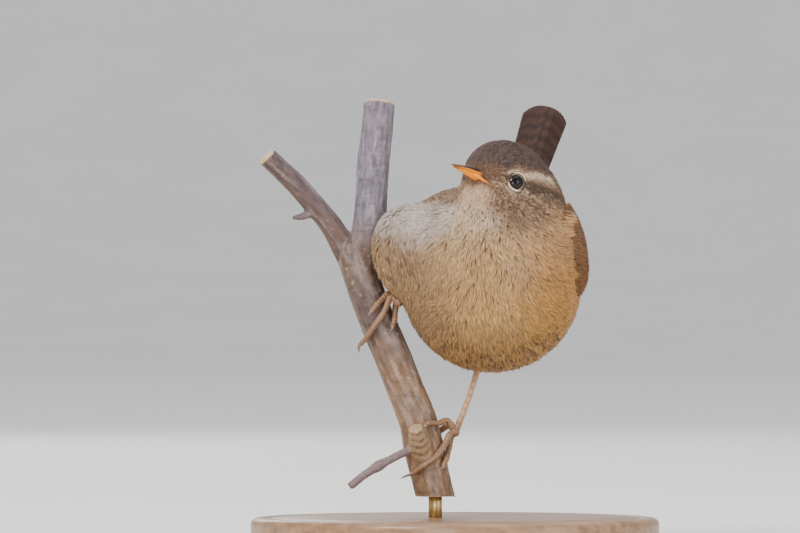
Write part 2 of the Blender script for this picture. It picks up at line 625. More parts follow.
def buildSkin():
    # rings of latitude between two poles, each point at its direction's reach less the coat's depth there,
    # and with its share round and up as its place on the map
    around, up = coat["around"], coat["up"]
    u, v = np.meshgrid(np.arange(around) / around, np.linspace(0, 1, up)[1:-1], indexing="xy")
    reach = reachOf(u, v)
    surface = pose["middle"] + wayOf(u, v) * reach[..., None]
    rings = pose["middle"] + wayOf(u, v) * (reach - coatDepth(surface))[..., None]
    points, (quads, fans) = closedTube(rings)
    points[-2] = pose["middle"] - [0, 0, reachOf(np.array(0.0), np.array(0.0)) - coat["bodyDepth"]]
    points[-1] = pose["middle"] + [0, 0, reachOf(np.array(0.0), np.array(1.0)) - coat["bodyDepth"]]
    pointU, pointV = np.append(u.ravel(), [0.5, 0.5]), np.append(v.ravel(), [0, 1])
    places = []
    for faces in (quads, fans):  # a face that crosses the seam keeps its corners together past the map's edge
        cornerU, cornerV = pointU[faces], pointV[faces]
        poled = faces >= around * (up - 2)
        inner = np.where(poled, 0.5, cornerU)
        wraps = (inner.max(1) - inner.min(1) > 0.5)[:, None]
        cornerU = np.where(wraps & (cornerU < 0.5) & ~poled, cornerU + 1, cornerU)
        places.append(np.stack([cornerU, cornerV], -1).reshape(-1, 2))
    coatSkin = tintedMaterial("plumageDown", 1500.0, 0.35, 0.8, bump=0.5, bumpStep=0.0003)
    makePiece("bodySkin", points, (quads, fans), coatSkin, ("torso", "neck", "head"),
              tint=marking(points) * 0.8, uv=np.concatenate(places))


buildSkin()
print("skin made")


def lieAt(p, outward):
    # feathers point away from the bill over the head, and towards the vent or the tail over the body, swung
    # by a coarse and a fine grain, with what points out of the surface taken away
    billRoot, shoulder = onHead(8.0, 0.0, -1.0), [-14, -8, 68]
    vent, tailRoot = np.array([12.5, 20, 54]), np.array([12.5, 25, 69])
    high = smooth(60, 74, p[:, 2]) * smooth(-8, 8, p[:, 1])
    toGoal = unit(vent + (tailRoot - vent) * high[:, None] - p)
    far = smooth(9, 26, np.linalg.norm(p - billRoot, axis=1))
    way = unit(p - billRoot) * (1 - far)[:, None] + toGoal * far[:, None]
    bulge = np.exp(-(((p - shoulder) / 9) ** 2).sum(1))
    way = way + bulge[:, None] * np.array([-0.35, -0.2, -0.75])
    coarse = np.stack([grain(p, 7.0, seed) - 0.5 for seed in (21, 22, 23)], -1)
    fine = np.stack([grain(p, 2.4, seed) - 0.5 for seed in (24, 25, 26)], -1)
    way = way + coarse * 0.45 + fine * 0.4
    return unit(way - (way * outward).sum(1, keepdims=True) * outward)


def featherLength(p):
    # shortest round the bill and the eyes, longer over the head, longest on the body
    f, l, u = headPlace(p)
    bill = np.linalg.norm(np.stack([f - 10.5, l, u + 1], -1), axis=-1)
    face = smooth(1.5, 11, np.minimum(bill, eyeDistance(p) * 1.25))
    onFace = coat["faceLength"] + (coat["cheekLength"] - coat["faceLength"]) * face
    return onFace + (coat["bodyLength"] - onFace) * (1 - headness(p))


def scatter(count):
    # even places bent so that each cell of the map gets its area over the feather's length to a power:
    # first the row, from the running sum of the rows' weights, then the place in the row in the same way
    iu, iv = np.meshgrid(np.arange(table["around"] + 1) / table["around"], np.linspace(0, 1, table["up"]),
                         indexing="ij")
    p = pose["middle"] + wayOf(iu, iv) * reachOf(iu, iv)[..., None]
    a, b = p[1:, :-1] - p[:-1, :-1], p[:-1, 1:] - p[:-1, :-1]
    centre = (p[1:, 1:] + p[:-1, :-1]) / 2
    size = featherLength(centre.reshape(-1, 3)).reshape(centre.shape[:2])
    weight = np.linalg.norm(np.cross(a, b), axis=-1) / size ** coat["crowding"]
    rowRun = np.concatenate([[0], np.cumsum(weight.sum(0))])
    rowRun /= rowRun[-1]
    x, y = evenPlaces(count)
    v = np.interp(x, rowRun, np.linspace(0, 1, len(rowRun)))
    rowAt = np.minimum((v * weight.shape[1]).astype(int), weight.shape[1] - 1)
    run = np.concatenate([np.zeros((1, weight.shape[1])), np.cumsum(weight, axis=0)])
    run /= run[-1]
    u = np.zeros(count)
    for r in np.unique(rowAt):
        chosen = rowAt == r
        u[chosen] = np.interp(y[chosen], run[:, r], np.linspace(0, 1, run.shape[0]))
    return u, v


def featherPlaces():
    # the scattered places, without those on the eyes, the bill and the soft corner of the mouth
    u, v = scatter(coat["feathers"])
    outer = pose["middle"] + wayOf(u, v) * reachOf(u, v)[:, None]
    f, l, up = headPlace(outer)
    corner = np.clip((np.abs(l) - 1.2) / 4.2, 0, 1)
    lipGap = np.abs(up - (-0.9 - 2.3 * corner)) + 0.6 * np.abs(f - (11.8 - 3.4 * corner))
    onBill = (np.abs(l) < 2.0) & (f > 9.6) & (up > -2.2) & (up < 0.5)
    onLip = (lipGap < 0.6) & (corner < 0.7) & (l > 0)
    keep = (eyeDistance(outer) > 2.5) & ~onBill & ~onLip
    return u[keep], v[keep], outer[keep]


# a barb is a sliver with five corners: root, low edge, ridge and high edge at its middle, and tip
barbFaces = np.array([[0, 1, 2], [0, 2, 3], [0, 3, 1], [4, 2, 1], [4, 3, 2], [4, 1, 3]])


def barbIndex(points):
    # the same six triangles for every barb, turned round if they would enclose a negative volume
    sliver = points.reshape(-1, 5, 3) - points.reshape(-1, 5, 3)[:, :1]
    a, b, c = [sliver[:, barbFaces[:, k]] for k in range(3)]
    faces = barbFaces[:, ::-1] if (np.cross(a, b) * c).sum() < 0 else barbFaces
    return (faces[None] + (np.arange(len(sliver)) * 5)[:, None, None]).reshape(-1, 3)


def coatBarbs(rng, outer, lie, across, length):
    # every feather is a fan of barbs on both sides of its shaft. A barb leaves the shaft at a share of its
    # length and runs out at an angle that closes towards the tip; each corner is laid on the coat at its
    # own height.
    count, barbs = len(outer), coat["barbs"]
    depth, head = coatDepth(outer), headness(outer)
    share = np.tile((np.arange(barbs) + 0.5) / barbs, (count, 1)) + rng.uniform(-0.02, 0.02, (count, barbs))
    side = np.where(np.arange(barbs) % 2 == 0, 1.0, -1.0)[None] * np.ones((count, 1))
    start = share * coat["shaft"] * length[:, None]
    reach = length[:, None] * (0.62 - 0.2 * share) * rng.uniform(*coat["reachVary"], (count, barbs))
    fan = np.radians(coat["fan"] - coat["fanClose"] * share + rng.uniform(*coat["fanVary"], (count, barbs)))
    tipAlong = start + reach * np.cos(fan)
    tipAside = side * reach * np.sin(fan) * 0.9
    midAlong = start + reach * 0.45 * np.cos(fan)
    midAside = side * (reach * 0.45 * np.sin(fan) + coat["bend"] * reach * 0.5)
    width = (coat["headWidth"] + (coat["bodyWidth"] - coat["headWidth"]) * (1 - head))[:, None]
    width = width * rng.uniform(*coat["widthVary"], (count, barbs))
    fluff = rng.uniform(-0.22, 0.16, (count, 1)) + rng.uniform(-0.12, 0.12, (count, barbs))
    fluff = fluff * np.clip(depth, 0.3, 1.2)[:, None]
    stray = (rng.random((count, barbs)) < coat["strays"]) * (1 - 0.75 * head[:, None])
    fluff = fluff + coat["strayLift"] * stray * rng.random((count, barbs))

    # a root, plus along and across its own way, lifted off the coat
    def placed(along, aside, lift):
        p = outer[:, None] + along[..., None] * lie[:, None] + aside[..., None] * across[:, None]
        return onCoat(p, lift)

    middle = -depth[:, None] * (0.4 - 0.25 * share) + fluff * 0.5
    points = np.stack([
        placed(start, 0 * start, -depth[:, None] * (1.02 - 0.55 * share)),
        placed(midAlong, midAside - width / 2, middle),
        placed(midAlong, midAside, middle + width * 0.42),
        placed(midAlong, midAside + width / 2, middle),
        placed(tipAlong, tipAside, -0.12 + fluff),
    ], axis=2)
    along = np.stack([start, midAlong, midAlong, midAlong, tipAlong], axis=2)
    aside = np.stack([0 * start, midAside - width / 2, midAside, midAside + width / 2, tipAside], axis=2)
    return points, share, along, aside


def coatTones(rng, outer, points, share, tipAlong):
    # the markings at the root and the tip, paler or darker from feather to feather and barb to barb, with
    # dark flecks under the belly, dots on the flank, bars on the back and a few pale tips; the root is dark
    count, barbs = share.shape
    head = headness(outer)
    base = marking(outer)
    tipTone = marking(points[:, :, 4].reshape(-1, 3)).reshape(count, barbs, 3)
    tipTone = 0.35 * base[:, None] + 0.65 * tipTone
    onCrown = ((head > 0.5) & (headPlace(outer)[2] > 2))[:, None, None]
    vary = rng.normal(0, coat["featherVary"], (count, 1, 1)) * (1 + 1.4 * onCrown)
    vary = 1 + vary + rng.normal(0, coat["barbVary"], (count, barbs, 1)) * (1 + 0.5 * onCrown)
    tipTone = tipTone * vary
    x, y, z = outer.T
    underBelly, lowFlank = smooth(53, 46, z) * smooth(24, 8, y), smooth(60, 50, z) * smooth(14, 26, x)
    flecked = np.clip(underBelly * 0.85 + lowFlank * 0.7, 0, 1) * (rng.random(count) < 0.5)
    flankDots = np.exp(-(((outer - [-14, -10, 68]) / 8) ** 2).sum(1)) * (rng.random(count) < 0.3)
    marked = np.clip(flecked + flankDots * 0.8, 0, 1)[:, None] * smooth(0.45, 0.8, share)
    tipTone = mixed(tipTone, shades["fleck"], np.clip(marked, 0, 0.85))
    onBack = smooth(-2, 8, y) * smooth(60, 68, z) * (1 - head)
    bars = smooth(0.1, 0.7, np.sin(tipAlong * 2.9 + rng.uniform(0, 6, (count, 1))))
    tipTone = tipTone * (1 - 0.38 * onBack[:, None] * bars)[..., None]
    paleTips = smooth(0.7, 0.95, share) * (rng.random((count, 1)) < 0.25) * 0.22 * (1 - 0.75 * onCrown[:, 0])
    tipTone = mixed(tipTone, shades["throat"], paleTips)
    rootTone = np.broadcast_to(0.42 * base[:, None] + 0.08 * shades["down"], tipTone.shape)
    midTone = 0.85 * tipTone + 0.15 * rootTone
    return np.stack([rootTone, midTone, midTone, midTone, tipTone], axis=2)


def coatPieces(outer):
    # each piece of the coat as its name and which feathers it takes, by the place of their roots
    x, y, z = outer.T
    f, l, u = headPlace(outer)
    head, left = headness(outer) > 0.5, l >= 0
    front, back, face, chin = y < -9, y >= 8, f > 1.5, u < -3.0
    onBody = {
        "Breast": front & (z > 62), "Belly": front & (z <= 62),
        "LeftSide": ~front & ~back & (x > 8), "RightSide": ~front & ~back & (x <= 8),
        "BackLeft": back & (x > 10), "BackRight": back & (x <= 10),
    }
    onHeadToo = {
        "FaceLeft": face & ~chin & left, "FaceRight": face & ~chin & ~left,
        "ThroatLeft": face & chin & left, "ThroatRight": face & chin & ~left,
        "CrownLeft": ~face & left, "CrownRight": ~face & ~left,
    }
    return ([("feathers" + name, chosen & ~head, False) for name, chosen in onBody.items()]
            + [("feathers" + name, chosen & head, True) for name, chosen in onHeadToo.items()])


def buildCoat():
    # the feathers' barbs, tones and pieces, all from one seed
    rng = np.random.default_rng(coat["seed"])
    u, v, outer = featherPlaces()
    outward = outwardOf(outer)
    lie = lieAt(outer, outward)
    lie = unit(lie + rng.normal(0, coat["sway"], (len(u), 1)) * np.cross(outward, lie))
    across = np.cross(outward, lie)
    length = featherLength(outer) * rng.uniform(*coat["lengthVary"], len(u))
    points, share, along, aside = coatBarbs(rng, outer, lie, across, length)
    tint = coatTones(rng, outer, points, share, along[:, :, 4])
    # map: a patch for each feather at its root's place, filled by the places of its corners in it
    span = length[:, None, None] * 1.3
    uvs = np.clip(np.stack([
        u[:, None, None] + coat["patch"] * np.clip(aside / span, -0.5, 0.5),
        v[:, None, None] + coat["patch"] * (np.clip(along / span, 0, 1) - 0.5),
    ], -1), 0, 1)
    finish = tintedMaterial("featherTips", 2600.0, 0.16, 0.6, bump=0.25, bumpStep=0.00008,
                            Specular_IOR_Level=0.3, Sheen_Weight=0.05, Sheen_Roughness=0.45)
    for name, chosen, onHeadPiece in coatPieces(outer):
        index = barbIndex(points[chosen])
        makePiece(name, points[chosen].reshape(-1, 3), (index,), finish,
                  ("head",) if onHeadPiece else ("torso", "neck"),
                  tint=tint[chosen].reshape(-1, 3), uv=uvs[chosen].reshape(-1, 2), flat=True)
        print(name, chosen.sum(), "feathers", len(index), "triangles")


buildCoat()
print("coat made")

# feathers with a vane: a flat closed tube along the shaft. t runs from root to tip and s from edge to edge.
vane = {"edgeThickness": 0.35, "shaftWidth": 0.1, "rootThickness": 1.25, "taper": 0.6, "mapColumns": 16,
        "mapRows": 8}


def roundedTip(t, start, least):
    # 1 up to start, then a quarter of an ellipse down to the root of least at the tip
    fall = 1 - ((t - start) / (1.01 - start)) ** 2
    return np.sqrt(np.clip(fall, np.where(t < start, 1, least), 1))


def vaneRings(place, stations, across, thickness):
    # place(t, s, lift) gives a point; each ring goes over the upper face and back along the lower one, and
    # the upper face has the shaft as a ridge along its middle
    t = np.linspace(0, 1, stations)
    s = np.linspace(-1, 1, across)
    over = np.concatenate([s, s[::-1]])
    face = np.concatenate([np.ones(across), -np.ones(across)])
    edge = np.where(np.abs(over) > 0.999, vane["edgeThickness"], 1.0)
    shaft = np.exp(-((over / vane["shaftWidth"]) ** 2)) * (face > 0)
    lift = 0.5 * thickness * face * edge + 0.5 * thickness * shaft
    tt, ss = np.broadcast_arrays(t[:, None], over[None])
    lift = np.broadcast_to(lift[None], tt.shape) * (vane["rootThickness"] - vane["taper"] * tt)
    rings = place(tt.ravel(), ss.ravel(), lift.ravel()).reshape(stations, 2 * across, 3)
    points, faces = solidTube(rings)
    return points, faces, np.append(tt.ravel(), [0, 1]), np.append(ss.ravel(), [0, 0])


def vanePiece(name, feathers, material, nodes):
    # feathers: (place, stations, across, thickness, toneOf(t, s, points)) joined as one mesh, each with its
    # own cell of the map
    parts, tones, cells, places = [], [], [], []
    columns, rows = vane["mapColumns"], vane["mapRows"]
    for number, (place, stations, across, thickness, toneOf) in enumerate(feathers):
        points, faces, t, s = vaneRings(place, stations, across, thickness)
        parts.append((points, faces))
        tones.append(toneOf(t, s, points))
        aside = s * 0.5 + 0.5
        cells.append(np.stack([t, aside], -1))
        column, row = number % columns, number // columns
        across, down = (column + 0.08 + 0.84 * aside) / columns, (row + 0.04 + 0.92 * t) / rows
        places.append(np.stack([across, down], -1))
    points, faces = joined(parts)
    return makePiece(name, points, faces, material, nodes, tint=np.concatenate(tones),
                     cell=np.concatenate(cells), uv=np.concatenate(places))


def buildBarbLines():
    # fine slanted lines on a vane, from its own map: the sine of a full turn times (lines by the length,
    # less slant by the distance from the shaft)
    group, entry, leave = nodeGroup(
        "barbLines", [("Lines", "NodeSocketFloat", 90.0), ("Slant", "NodeSocketFloat", 30.0)],
        [("Height", "NodeSocketFloat"), ("Shade", "NodeSocketFloat")],
    )
    link = group.links.new
    place = node(group, "ShaderNodeUVMap", uv_map="vane")
    split = node(group, "ShaderNodeSeparateXYZ")
    link(place.outputs[0], split.inputs[0])
    off = node(group, "ShaderNodeMath", operation="SUBTRACT")
    off.inputs[1].default_value = 0.5
    link(split.outputs["Y"], off.inputs[0])
    aside = node(group, "ShaderNodeMath", operation="ABSOLUTE")
    link(off.outputs[0], aside.inputs[0])
    slanted = node(group, "ShaderNodeMath", operation="MULTIPLY")
    link(aside.outputs[0], slanted.inputs[0])
    link(entry.outputs["Slant"], slanted.inputs[1])
    run = node(group, "ShaderNodeMath", operation="MULTIPLY_ADD")
    link(split.outputs["X"], run.inputs[0])
    link(entry.outputs["Lines"], run.inputs[1])
    run.inputs[2].default_value = 0.0
    less = node(group, "ShaderNodeMath", operation="SUBTRACT")
    link(run.outputs[0], less.inputs[0])
    link(slanted.outputs[0], less.inputs[1])
    fullTurn = node(group, "ShaderNodeMath", operation="MULTIPLY")
    fullTurn.inputs[1].default_value = 6.2832
    link(less.outputs[0], fullTurn.inputs[0])
    wave = node(group, "ShaderNodeMath", operation="SINE")
    link(fullTurn.outputs[0], wave.inputs[0])
    shade = node(group, "ShaderNodeMapRange", From_Min=-1.0, From_Max=1.0, To_Min=0.86, To_Max=1.06)
    link(wave.outputs[0], shade.inputs["Value"])
    link(wave.outputs[0], leave.inputs["Height"])
    link(shade.outputs["Result"], leave.inputs["Shade"])
    return group


barbLines = buildBarbLines()


def vaneMaterial(name, lines, slant):
    # the tinted material with the barb lines over its colour and its bump
    material = tintedMaterial(name, 2200.0, 0.18, 0.62, bump=0.2, bumpStep=0.00005, Specular_IOR_Level=0.22)
    tree = material.node_tree
    shader = tree.nodes["Principled BSDF"]
    lined = node(tree, "ShaderNodeGroup", node_tree=barbLines, Lines=lines, Slant=slant)
    toned = node(tree, "ShaderNodeVectorMath", operation="SCALE")
    tree.links.new(shader.inputs["Base Color"].links[0].from_socket, toned.inputs[0])
    tree.links.new(lined.outputs["Shade"], toned.inputs["Scale"])
    tree.links.new(toned.outputs[0], shader.inputs["Base Color"])
    under = shader.inputs["Normal"].links[0].from_socket
    raised = addBump(tree, shader, lined.outputs["Height"], 0.35, 0.00006)
    tree.links.new(under, raised.inputs["Normal"])
    return material


# wings: tiers of vanes on a shell round the body. A tier runs from its lowest feather to its highest, with
# roots and tips as a distance back and a height.
wing = {"tipBack": 34, "spread": 21.5, "close": 14, "tuck": 100, "middleHeight": 65, "rise": 24,
        "thickness": 0.24, "light": linear(136, 96, 58), "dark": linear(48, 31, 22),
        "warm": linear(120, 80, 44), "edge": linear(160, 128, 92)}
wingTiers = [
    dict(count=9, root=((3, 59.5), (5, 64)), tip=((28.5, 57.6), (30.5, 64)), half=(1.5, 1.8),
         lift=(-0.2, 0.2), bow=2.5, sag=1.2, bend=0, bars=9, kind="primary"),
    dict(count=8, root=((4, 64), (7, 70.5)), tip=((28, 64.4), (24.5, 68.6)), half=(1.8, 2.1),
         lift=(0.25, 0.55), bow=1, sag=0.5, bend=0, bars=9, kind="secondary"),
    dict(count=3, root=((5, 71.5), (3, 76)), tip=((24, 69.4), (19, 72.8)), half=(2.6, 2.9),
         lift=(0.65, 0.85), bow=1, sag=0.5, bend=0, bars=9, kind="secondary"),
    dict(count=4, root=((-4, 58.6), (-3, 60.6)), tip=((9.5, 57.6), (10.5, 60.4)), half=(1.4, 1.5),
         lift=(0.2, 0.35), bow=0, sag=0.5, bend=2.5, bars=4, kind="covert"),
    dict(count=9, root=((-1, 62), (0, 76)), tip=((12, 61.8), (11.5, 75)), half=(1.7, 1.8),
         lift=(0.8, 1), bow=0, sag=0.5, bend=2.5, bars=5, kind="covert"),
    dict(count=8, root=((-5, 61.6), (-4, 77)), tip=((6.5, 61.4), (5.5, 76.5)), half=(1.7, 1.9),
         lift=(1.1, 1.25), bow=0, sag=0.5, bend=2.5, bars=4, kind="covert"),
    dict(count=8, root=((-9, 62.6), (-8, 76)), tip=((0.5, 63.2), (0.5, 77)), half=(1.8, 2.0),
         lift=(1.2, 1.35), bow=0, sag=0.5, bend=5, bars=3, kind="small"),
]


def onWing(back, height, lift, side):
    # a shell round the body: its half width falls off by a power of the distance back, and by the square of
    # the distance forward, and goes as a half ellipse with the height
    share = back / wing["tipBack"]
    shut = np.where(share > 0, wing["close"] * np.maximum(share, 0) ** 1.25, wing["tuck"] * share**2)
    rise = 1 - ((height - wing["middleHeight"]) / wing["rise"]) ** 2
    aside = (wing["spread"] - shut) * np.sqrt(np.maximum(0.02, rise)) + lift
    centre = np.stack([np.full_like(back, pose["bodyCentre"][0]), np.full_like(back, pose["bodyCentre"][1]),
                       height], -1)
    return centre - back[:, None] * bodyAxes[0] + (side * aside)[:, None] * bodyAxes[1]


def wingTone(kind, bars, seed):
    # warm brown webs crossed by dark bars, darker near the shaft of the inner web, paler at the tip
    def tone(t, s, p):
        wave = np.sin(2 * np.pi * (bars * t - 0.35 * np.abs(s) + seed * 0.37 % 1))
        bar = smooth(0.0, 0.55, wave) * (0.9 if kind != "small" else 0.55)
        outerWeb = s > 0
        web = mixed(wing["light"] if kind == "primary" else wing["warm"], wing["edge"],
                    0.45 * outerWeb * (kind == "primary"))
        colour = mixed(web, wing["dark"], bar * np.where(outerWeb, 0.8, 0.9))
        colour = mixed(colour, wing["dark"] * 0.8, 0.7 * smooth(0.16, 0.02, np.abs(s)) * (kind != "small"))
        colour = mixed(colour, wing["edge"], 0.6 * smooth(0.93, 1.0, t) * (kind == "covert"))
        if kind == "small":
            colour = mixed(colour, shades["back"], np.full(len(t), 0.5))
        return colour * (0.94 + 0.12 * grain(p, 1.2, 31))[:, None]
    return tone


def tierFeather(tier, k, side):
    # feather k of a tier: root, tip, width and height run evenly from the lowest to the highest; in a
    # covert tier both ends are bent back towards the tier's ends, and the tips of the flight feathers bow
    # out at its middle
    share = k / (tier["count"] - 1)
    rootAt = np.array(tier["root"][0]) * (1 - share) + np.array(tier["root"][1]) * share
    tipAt = np.array(tier["tip"][0]) * (1 - share) + np.array(tier["tip"][1]) * share
    bend = tier["bend"] * (2 * share - 1) ** 2
    rootAt, tipAt = rootAt + [bend, 0], tipAt + [0.6 * bend, 0]
    far = tipAt[0] + tier["bow"] * math.sin(math.pi * share)
    half = tier["half"][0] * (1 - share) + tier["half"][1] * share
    layer = tier["lift"][0] * (1 - share) + tier["lift"][1] * share

    # the strip's height and distance back at t, with s times its width
    def place(t, s, lift):
        wide = half * np.minimum(1, 0.45 + 1.6 * t) * roundedTip(t, 0.72, 0.03)
        height = rootAt[1] * (1 - t) + tipAt[1] * t - tier["sag"] * np.sin(np.pi * t) + s * wide
        back = rootAt[0] * (1 - t) + far * t
        raised = layer - 0.35 * (1 - t) + 0.14 * s + lift + 0.12 * (1 - s * s)
        return onWing(back, height, raised, side)

    return place


def wingCore(side):
    # a thin plate under the tiers that carries their roots: a rounded strip that narrows and thins towards
    # the tip
    def place(t, s, lift):
        back = -9 + 36 * t + 5.5 * s * s * (1 - t) ** 2
        lowEdge, highEdge = 61.5 + 0.5 * t, 76 - 8 * t**1.3
        half = (highEdge - lowEdge) / 2 * np.sqrt(np.clip(1 - (2 * t - 1) ** 4, 0.06, 1))
        height = (lowEdge + highEdge) / 2 + s * half
        thick = np.where(lift > 0, 1.9 - 1.5 * t, 0)
        return onWing(back, height, -2.2 + 1.5 * t + thick, side)
    return place


def coreTone(t, s, p):  # one dark brown, a little over the wing's own
    return np.tile(wing["dark"] * 1.3, (len(t), 1))


# soft covers over the bend of each wing and the root of the tail
cover = {"count": 680, "barbs": 20, "length": 3.3, "lift": 1.4, "seed": 29, "shaft": 0.6, "width": 0.21,
         "fan": 24, "fanClose": 18, "lengthVary": (0.85, 1.15), "widthVary": (0.8, 1.2), "featherVary": 0.08,
         "barbVary": 0.15, "bendFrom": -11.5, "bend": 6.5, "bendMiddle": 68.5, "patch": 0.003,
         "brown": linear(120, 80, 45)}


def softFans(name, place, back, height, long, drift, tone, low, high, raised, nodes, seed, plain):
    # small soft feathers on a shell, each a fan of barbs as on the coat. place(back, height, lift) gives a
    # corner; low, high and raised are the lifts of roots, middles and tips, and plain ones take the body's
    # markings.
    rng = np.random.default_rng(seed)
    barbs, count = cover["barbs"], len(back)
    share = (np.arange(barbs)[None] + rng.random((count, barbs))) / barbs
    side = np.where(np.arange(barbs) % 2 == 0, 1.0, -1.0)[None]
    fan = side * np.radians(cover["fan"] - cover["fanClose"] * share)
    long = long * rng.uniform(*cover["lengthVary"], (count, 1))
    start, reach = share * cover["shaft"] * long, long * (0.62 - 0.2 * share)
    width = cover["width"] * rng.uniform(*cover["widthVary"], share.shape)
    fluff = rng.uniform(-0.15, 0.2, (count, 1)) + rng.uniform(-0.1, 0.1, share.shape)

    # a corner's distance back and height on the shell, which drifts as it goes along
    def placed(along, aside, lift):
        p = place((back[:, None] + along).ravel(), (height[:, None] + aside + drift[:, None] * along).ravel(),
                  np.broadcast_to(lift, along.shape).ravel())
        return p.reshape(*along.shape, 3)

    half, off = start + 0.45 * reach * np.cos(fan), 0.45 * reach * np.sin(fan)
    points = np.stack([
        placed(start, 0 * start, low[:, None] + 0.5 * share),
        placed(half, off - width / 2, high[:, None] - 0.1 + fluff),
        placed(half, off, high[:, None] - 0.02 + fluff),
        placed(half, off + width / 2, high[:, None] - 0.1 + fluff),
        placed(start + reach * np.cos(fan), reach * np.sin(fan) * 0.9, (high + raised)[:, None] + fluff),
    ], axis=2)
    # colour: wavy dark bars and a pale edge, save on the plain ones
    vary = rng.normal(0, cover["featherVary"], (count, 1, 1))
    vary = 1 + vary + rng.normal(0, cover["barbVary"], (*share.shape, 1))
    tone = np.where(plain[:, None], marking(points[:, 0, 0]), tone)[:, None] * vary
    barred = smooth(0.2, 0.6, np.sin((back[:, None] + start) * 2.1 + 1.3 * np.sin(height * 1.7)[:, None]))
    tone = mixed(tone, wing["dark"], 0.6 * barred * (share > 0.35) * ~plain[:, None])
    pale = mixed(tone, wing["edge"], 0.5 * (share > 0.85) * ~plain[:, None])
    tint = np.stack([tone * 0.5, tone * 0.85, tone * 0.9, tone * 0.85, pale], axis=2)
    # map: a patch for each feather at its own place on the shell
    spread = np.stack([(x - x.min()) / np.ptp(x) for x in (back, height)], -1) * 0.98 + 0.01
    corner = np.array([[0, -0.5], [-0.5, 0], [0, 0], [0.5, 0], [0, 0.5]]) * cover["patch"]
    uvs = np.broadcast_to(spread[:, None, None] + corner, (*share.shape, 5, 2))
    makePiece(name, points.reshape(-1, 3), (barbIndex(points),), coverFinish, nodes,
              tint=tint.reshape(-1, 3), uv=uvs.reshape(-1, 2), flat=True)


def buildWingCover(side, label):
    # three in four lie over the bend of the wing and the rest along its upper edge; the front of the bend
    # is a curve that goes back by a power of the height from its middle, and plain ones lap over it
    k = np.arange(cover["count"])
    x, y = evenPlaces(cover["count"])
    upper = k % 4 == 0
    height = np.where(upper, 75.5 + 4.2 * y - 0.35 * np.maximum(0, -9 + 27 * x), 58.8 + 19 * y)
    curve = cover["bend"] * np.abs((height - cover["bendMiddle"]) / 10) ** 2.2
    front = smooth(cover["bendFrom"], -5, np.where(upper, -5, -10.5 + 15 * x))
    back = np.where(upper, -9 + 27 * x, -10.5 + 15 * x + curve)
    plain = (k % 6 == 1) & (height > 63) if side > 0 else k % 4 == 1
    back = np.where(plain, -11.8 + 3.2 * x + curve, back)
    drift = -0.12 - 0.1 * smooth(70, 60, height)
    lift = cover["lift"] * smooth(56.5, 62.5, height) * (0.45 + 0.55 * front)
    greyish = np.exp(-(((height - 72) / 5) ** 2 + ((back + 6) / 5) ** 2))
    tone = mixed(np.tile(cover["brown"], (len(k), 1)), shades["down"] * 0.8, 0.16 * greyish)
    softFans("wingCover" + label, lambda b, h, o: onWing(b, h, o, side), back, height, cover["length"], drift,
             tone, lift - 1.1, lift, 0.25 + 0.35 * plain, ("wing_" + label.lower(),),
             cover["seed"], plain)


def buildWing(side, label):
    # the core, then every feather of every tier; the flight feathers have more stations along them
    feathers = [(wingCore(side), 14, 9, 0.2, coreTone)]
    for tier in wingTiers:
        stations = 26 if tier["bars"] > 5 else 16
        for k in range(tier["count"]):
            tone = wingTone(tier["kind"], tier["bars"], k)
            feathers.append((tierFeather(tier, k, side), stations, 9, wing["thickness"], tone))
    vanePiece("wing" + label, feathers, wingFinish, ("wing_" + label.lower(),))


coverFinish = tintedMaterial("softCoverts", 2600.0, 0.16, 0.6, bump=0.25, bumpStep=0.00008,
                             Specular_IOR_Level=0.25)
wingFinish = vaneMaterial("wingVanes", 70.0, 16.0)
for side, label in ((1, "Left"), (-1, "Right")):
    buildWingCover(side, label)
    buildWing(side, label)
print("wings made")

# tail: twelve feathers fanned from the rump, with coverts over and under their roots
tail = {"root": np.array([12.3, 18.5, 72.5]), "tip": np.array([22.3, 33, 103.2]), "roll": 10,
        "lengths": [1, 1, 0.998, 0.992, 0.982, 0.965], "half": 1.9, "layer": -0.3, "thickness": 0.26,
        "light": linear(66, 43, 35), "dark": linear(32, 21, 18), "covertReach": 5, "covertLong": 11.5,
        "covertLayers": (0.5, -1.35), "soft": 190, "softLength": 4.2, "softSeed": 33}
tailAlong = unit(tail["tip"] - tail["root"])
tailLength = np.linalg.norm(tail["tip"] - tail["root"])
tailOut = np.array([0.0, -1, 0])
tailOut = unit(tailOut - (tailOut @ tailAlong) * tailAlong)
rolled = math.radians(-tail["roll"])
tailOut = tailOut * math.cos(rolled) + np.cross(tailAlong, tailOut) * math.sin(rolled)
tailAcross = np.cross(tailAlong, tailOut)


def onTail(a, c, o):  # distances along the tail, across it and out of its face, as a place
    return tail["root"] + a[:, None] * tailAlong + c[:, None] * tailAcross + o[:, None] * tailOut


def tailFeather(long, swing, start, layer, half, roundAt):
    # a strip that widens from its root, is rounded past roundAt, and is swung by an angle about its root,
    # which lies start across the tail; its layer grows from root to tip
    swing = math.radians(swing)

    # the strip's own place, turned by the swing
    def place(t, s, lift):
        width = half * (0.62 + 0.38 * np.minimum(1, 1.6 * t)) * roundedTip(t, roundAt, 0.03)
        along, aside = long * t, s * width
        a = along * math.cos(swing) - aside * math.sin(swing)
        c = start + along * math.sin(swing) + aside * math.cos(swing)
        return onTail(a, c, layer * (0.35 + 0.65 * t) + lift + 0.1 * (1 - s * s) - 0.05)

    return place


def tailTone(bars, strength, seed):
    # dark bars as a sine of the length, a little bent over the width, and a dark shaft
    def tone(t, s, p):
        wave = np.sin(2 * np.pi * (bars * t + 0.3 * np.abs(s) + 0.12 * np.sin(5 * s + seed)))
        colour = mixed(tail["light"], tail["dark"], strength * smooth(-0.1, 0.6, wave))
        colour = mixed(colour, tail["dark"], 0.65 * smooth(0.14, 0.02, np.abs(s)))
        return colour * (0.92 + 0.16 * grain(p, 1.0, 41))[:, None]
    return tone


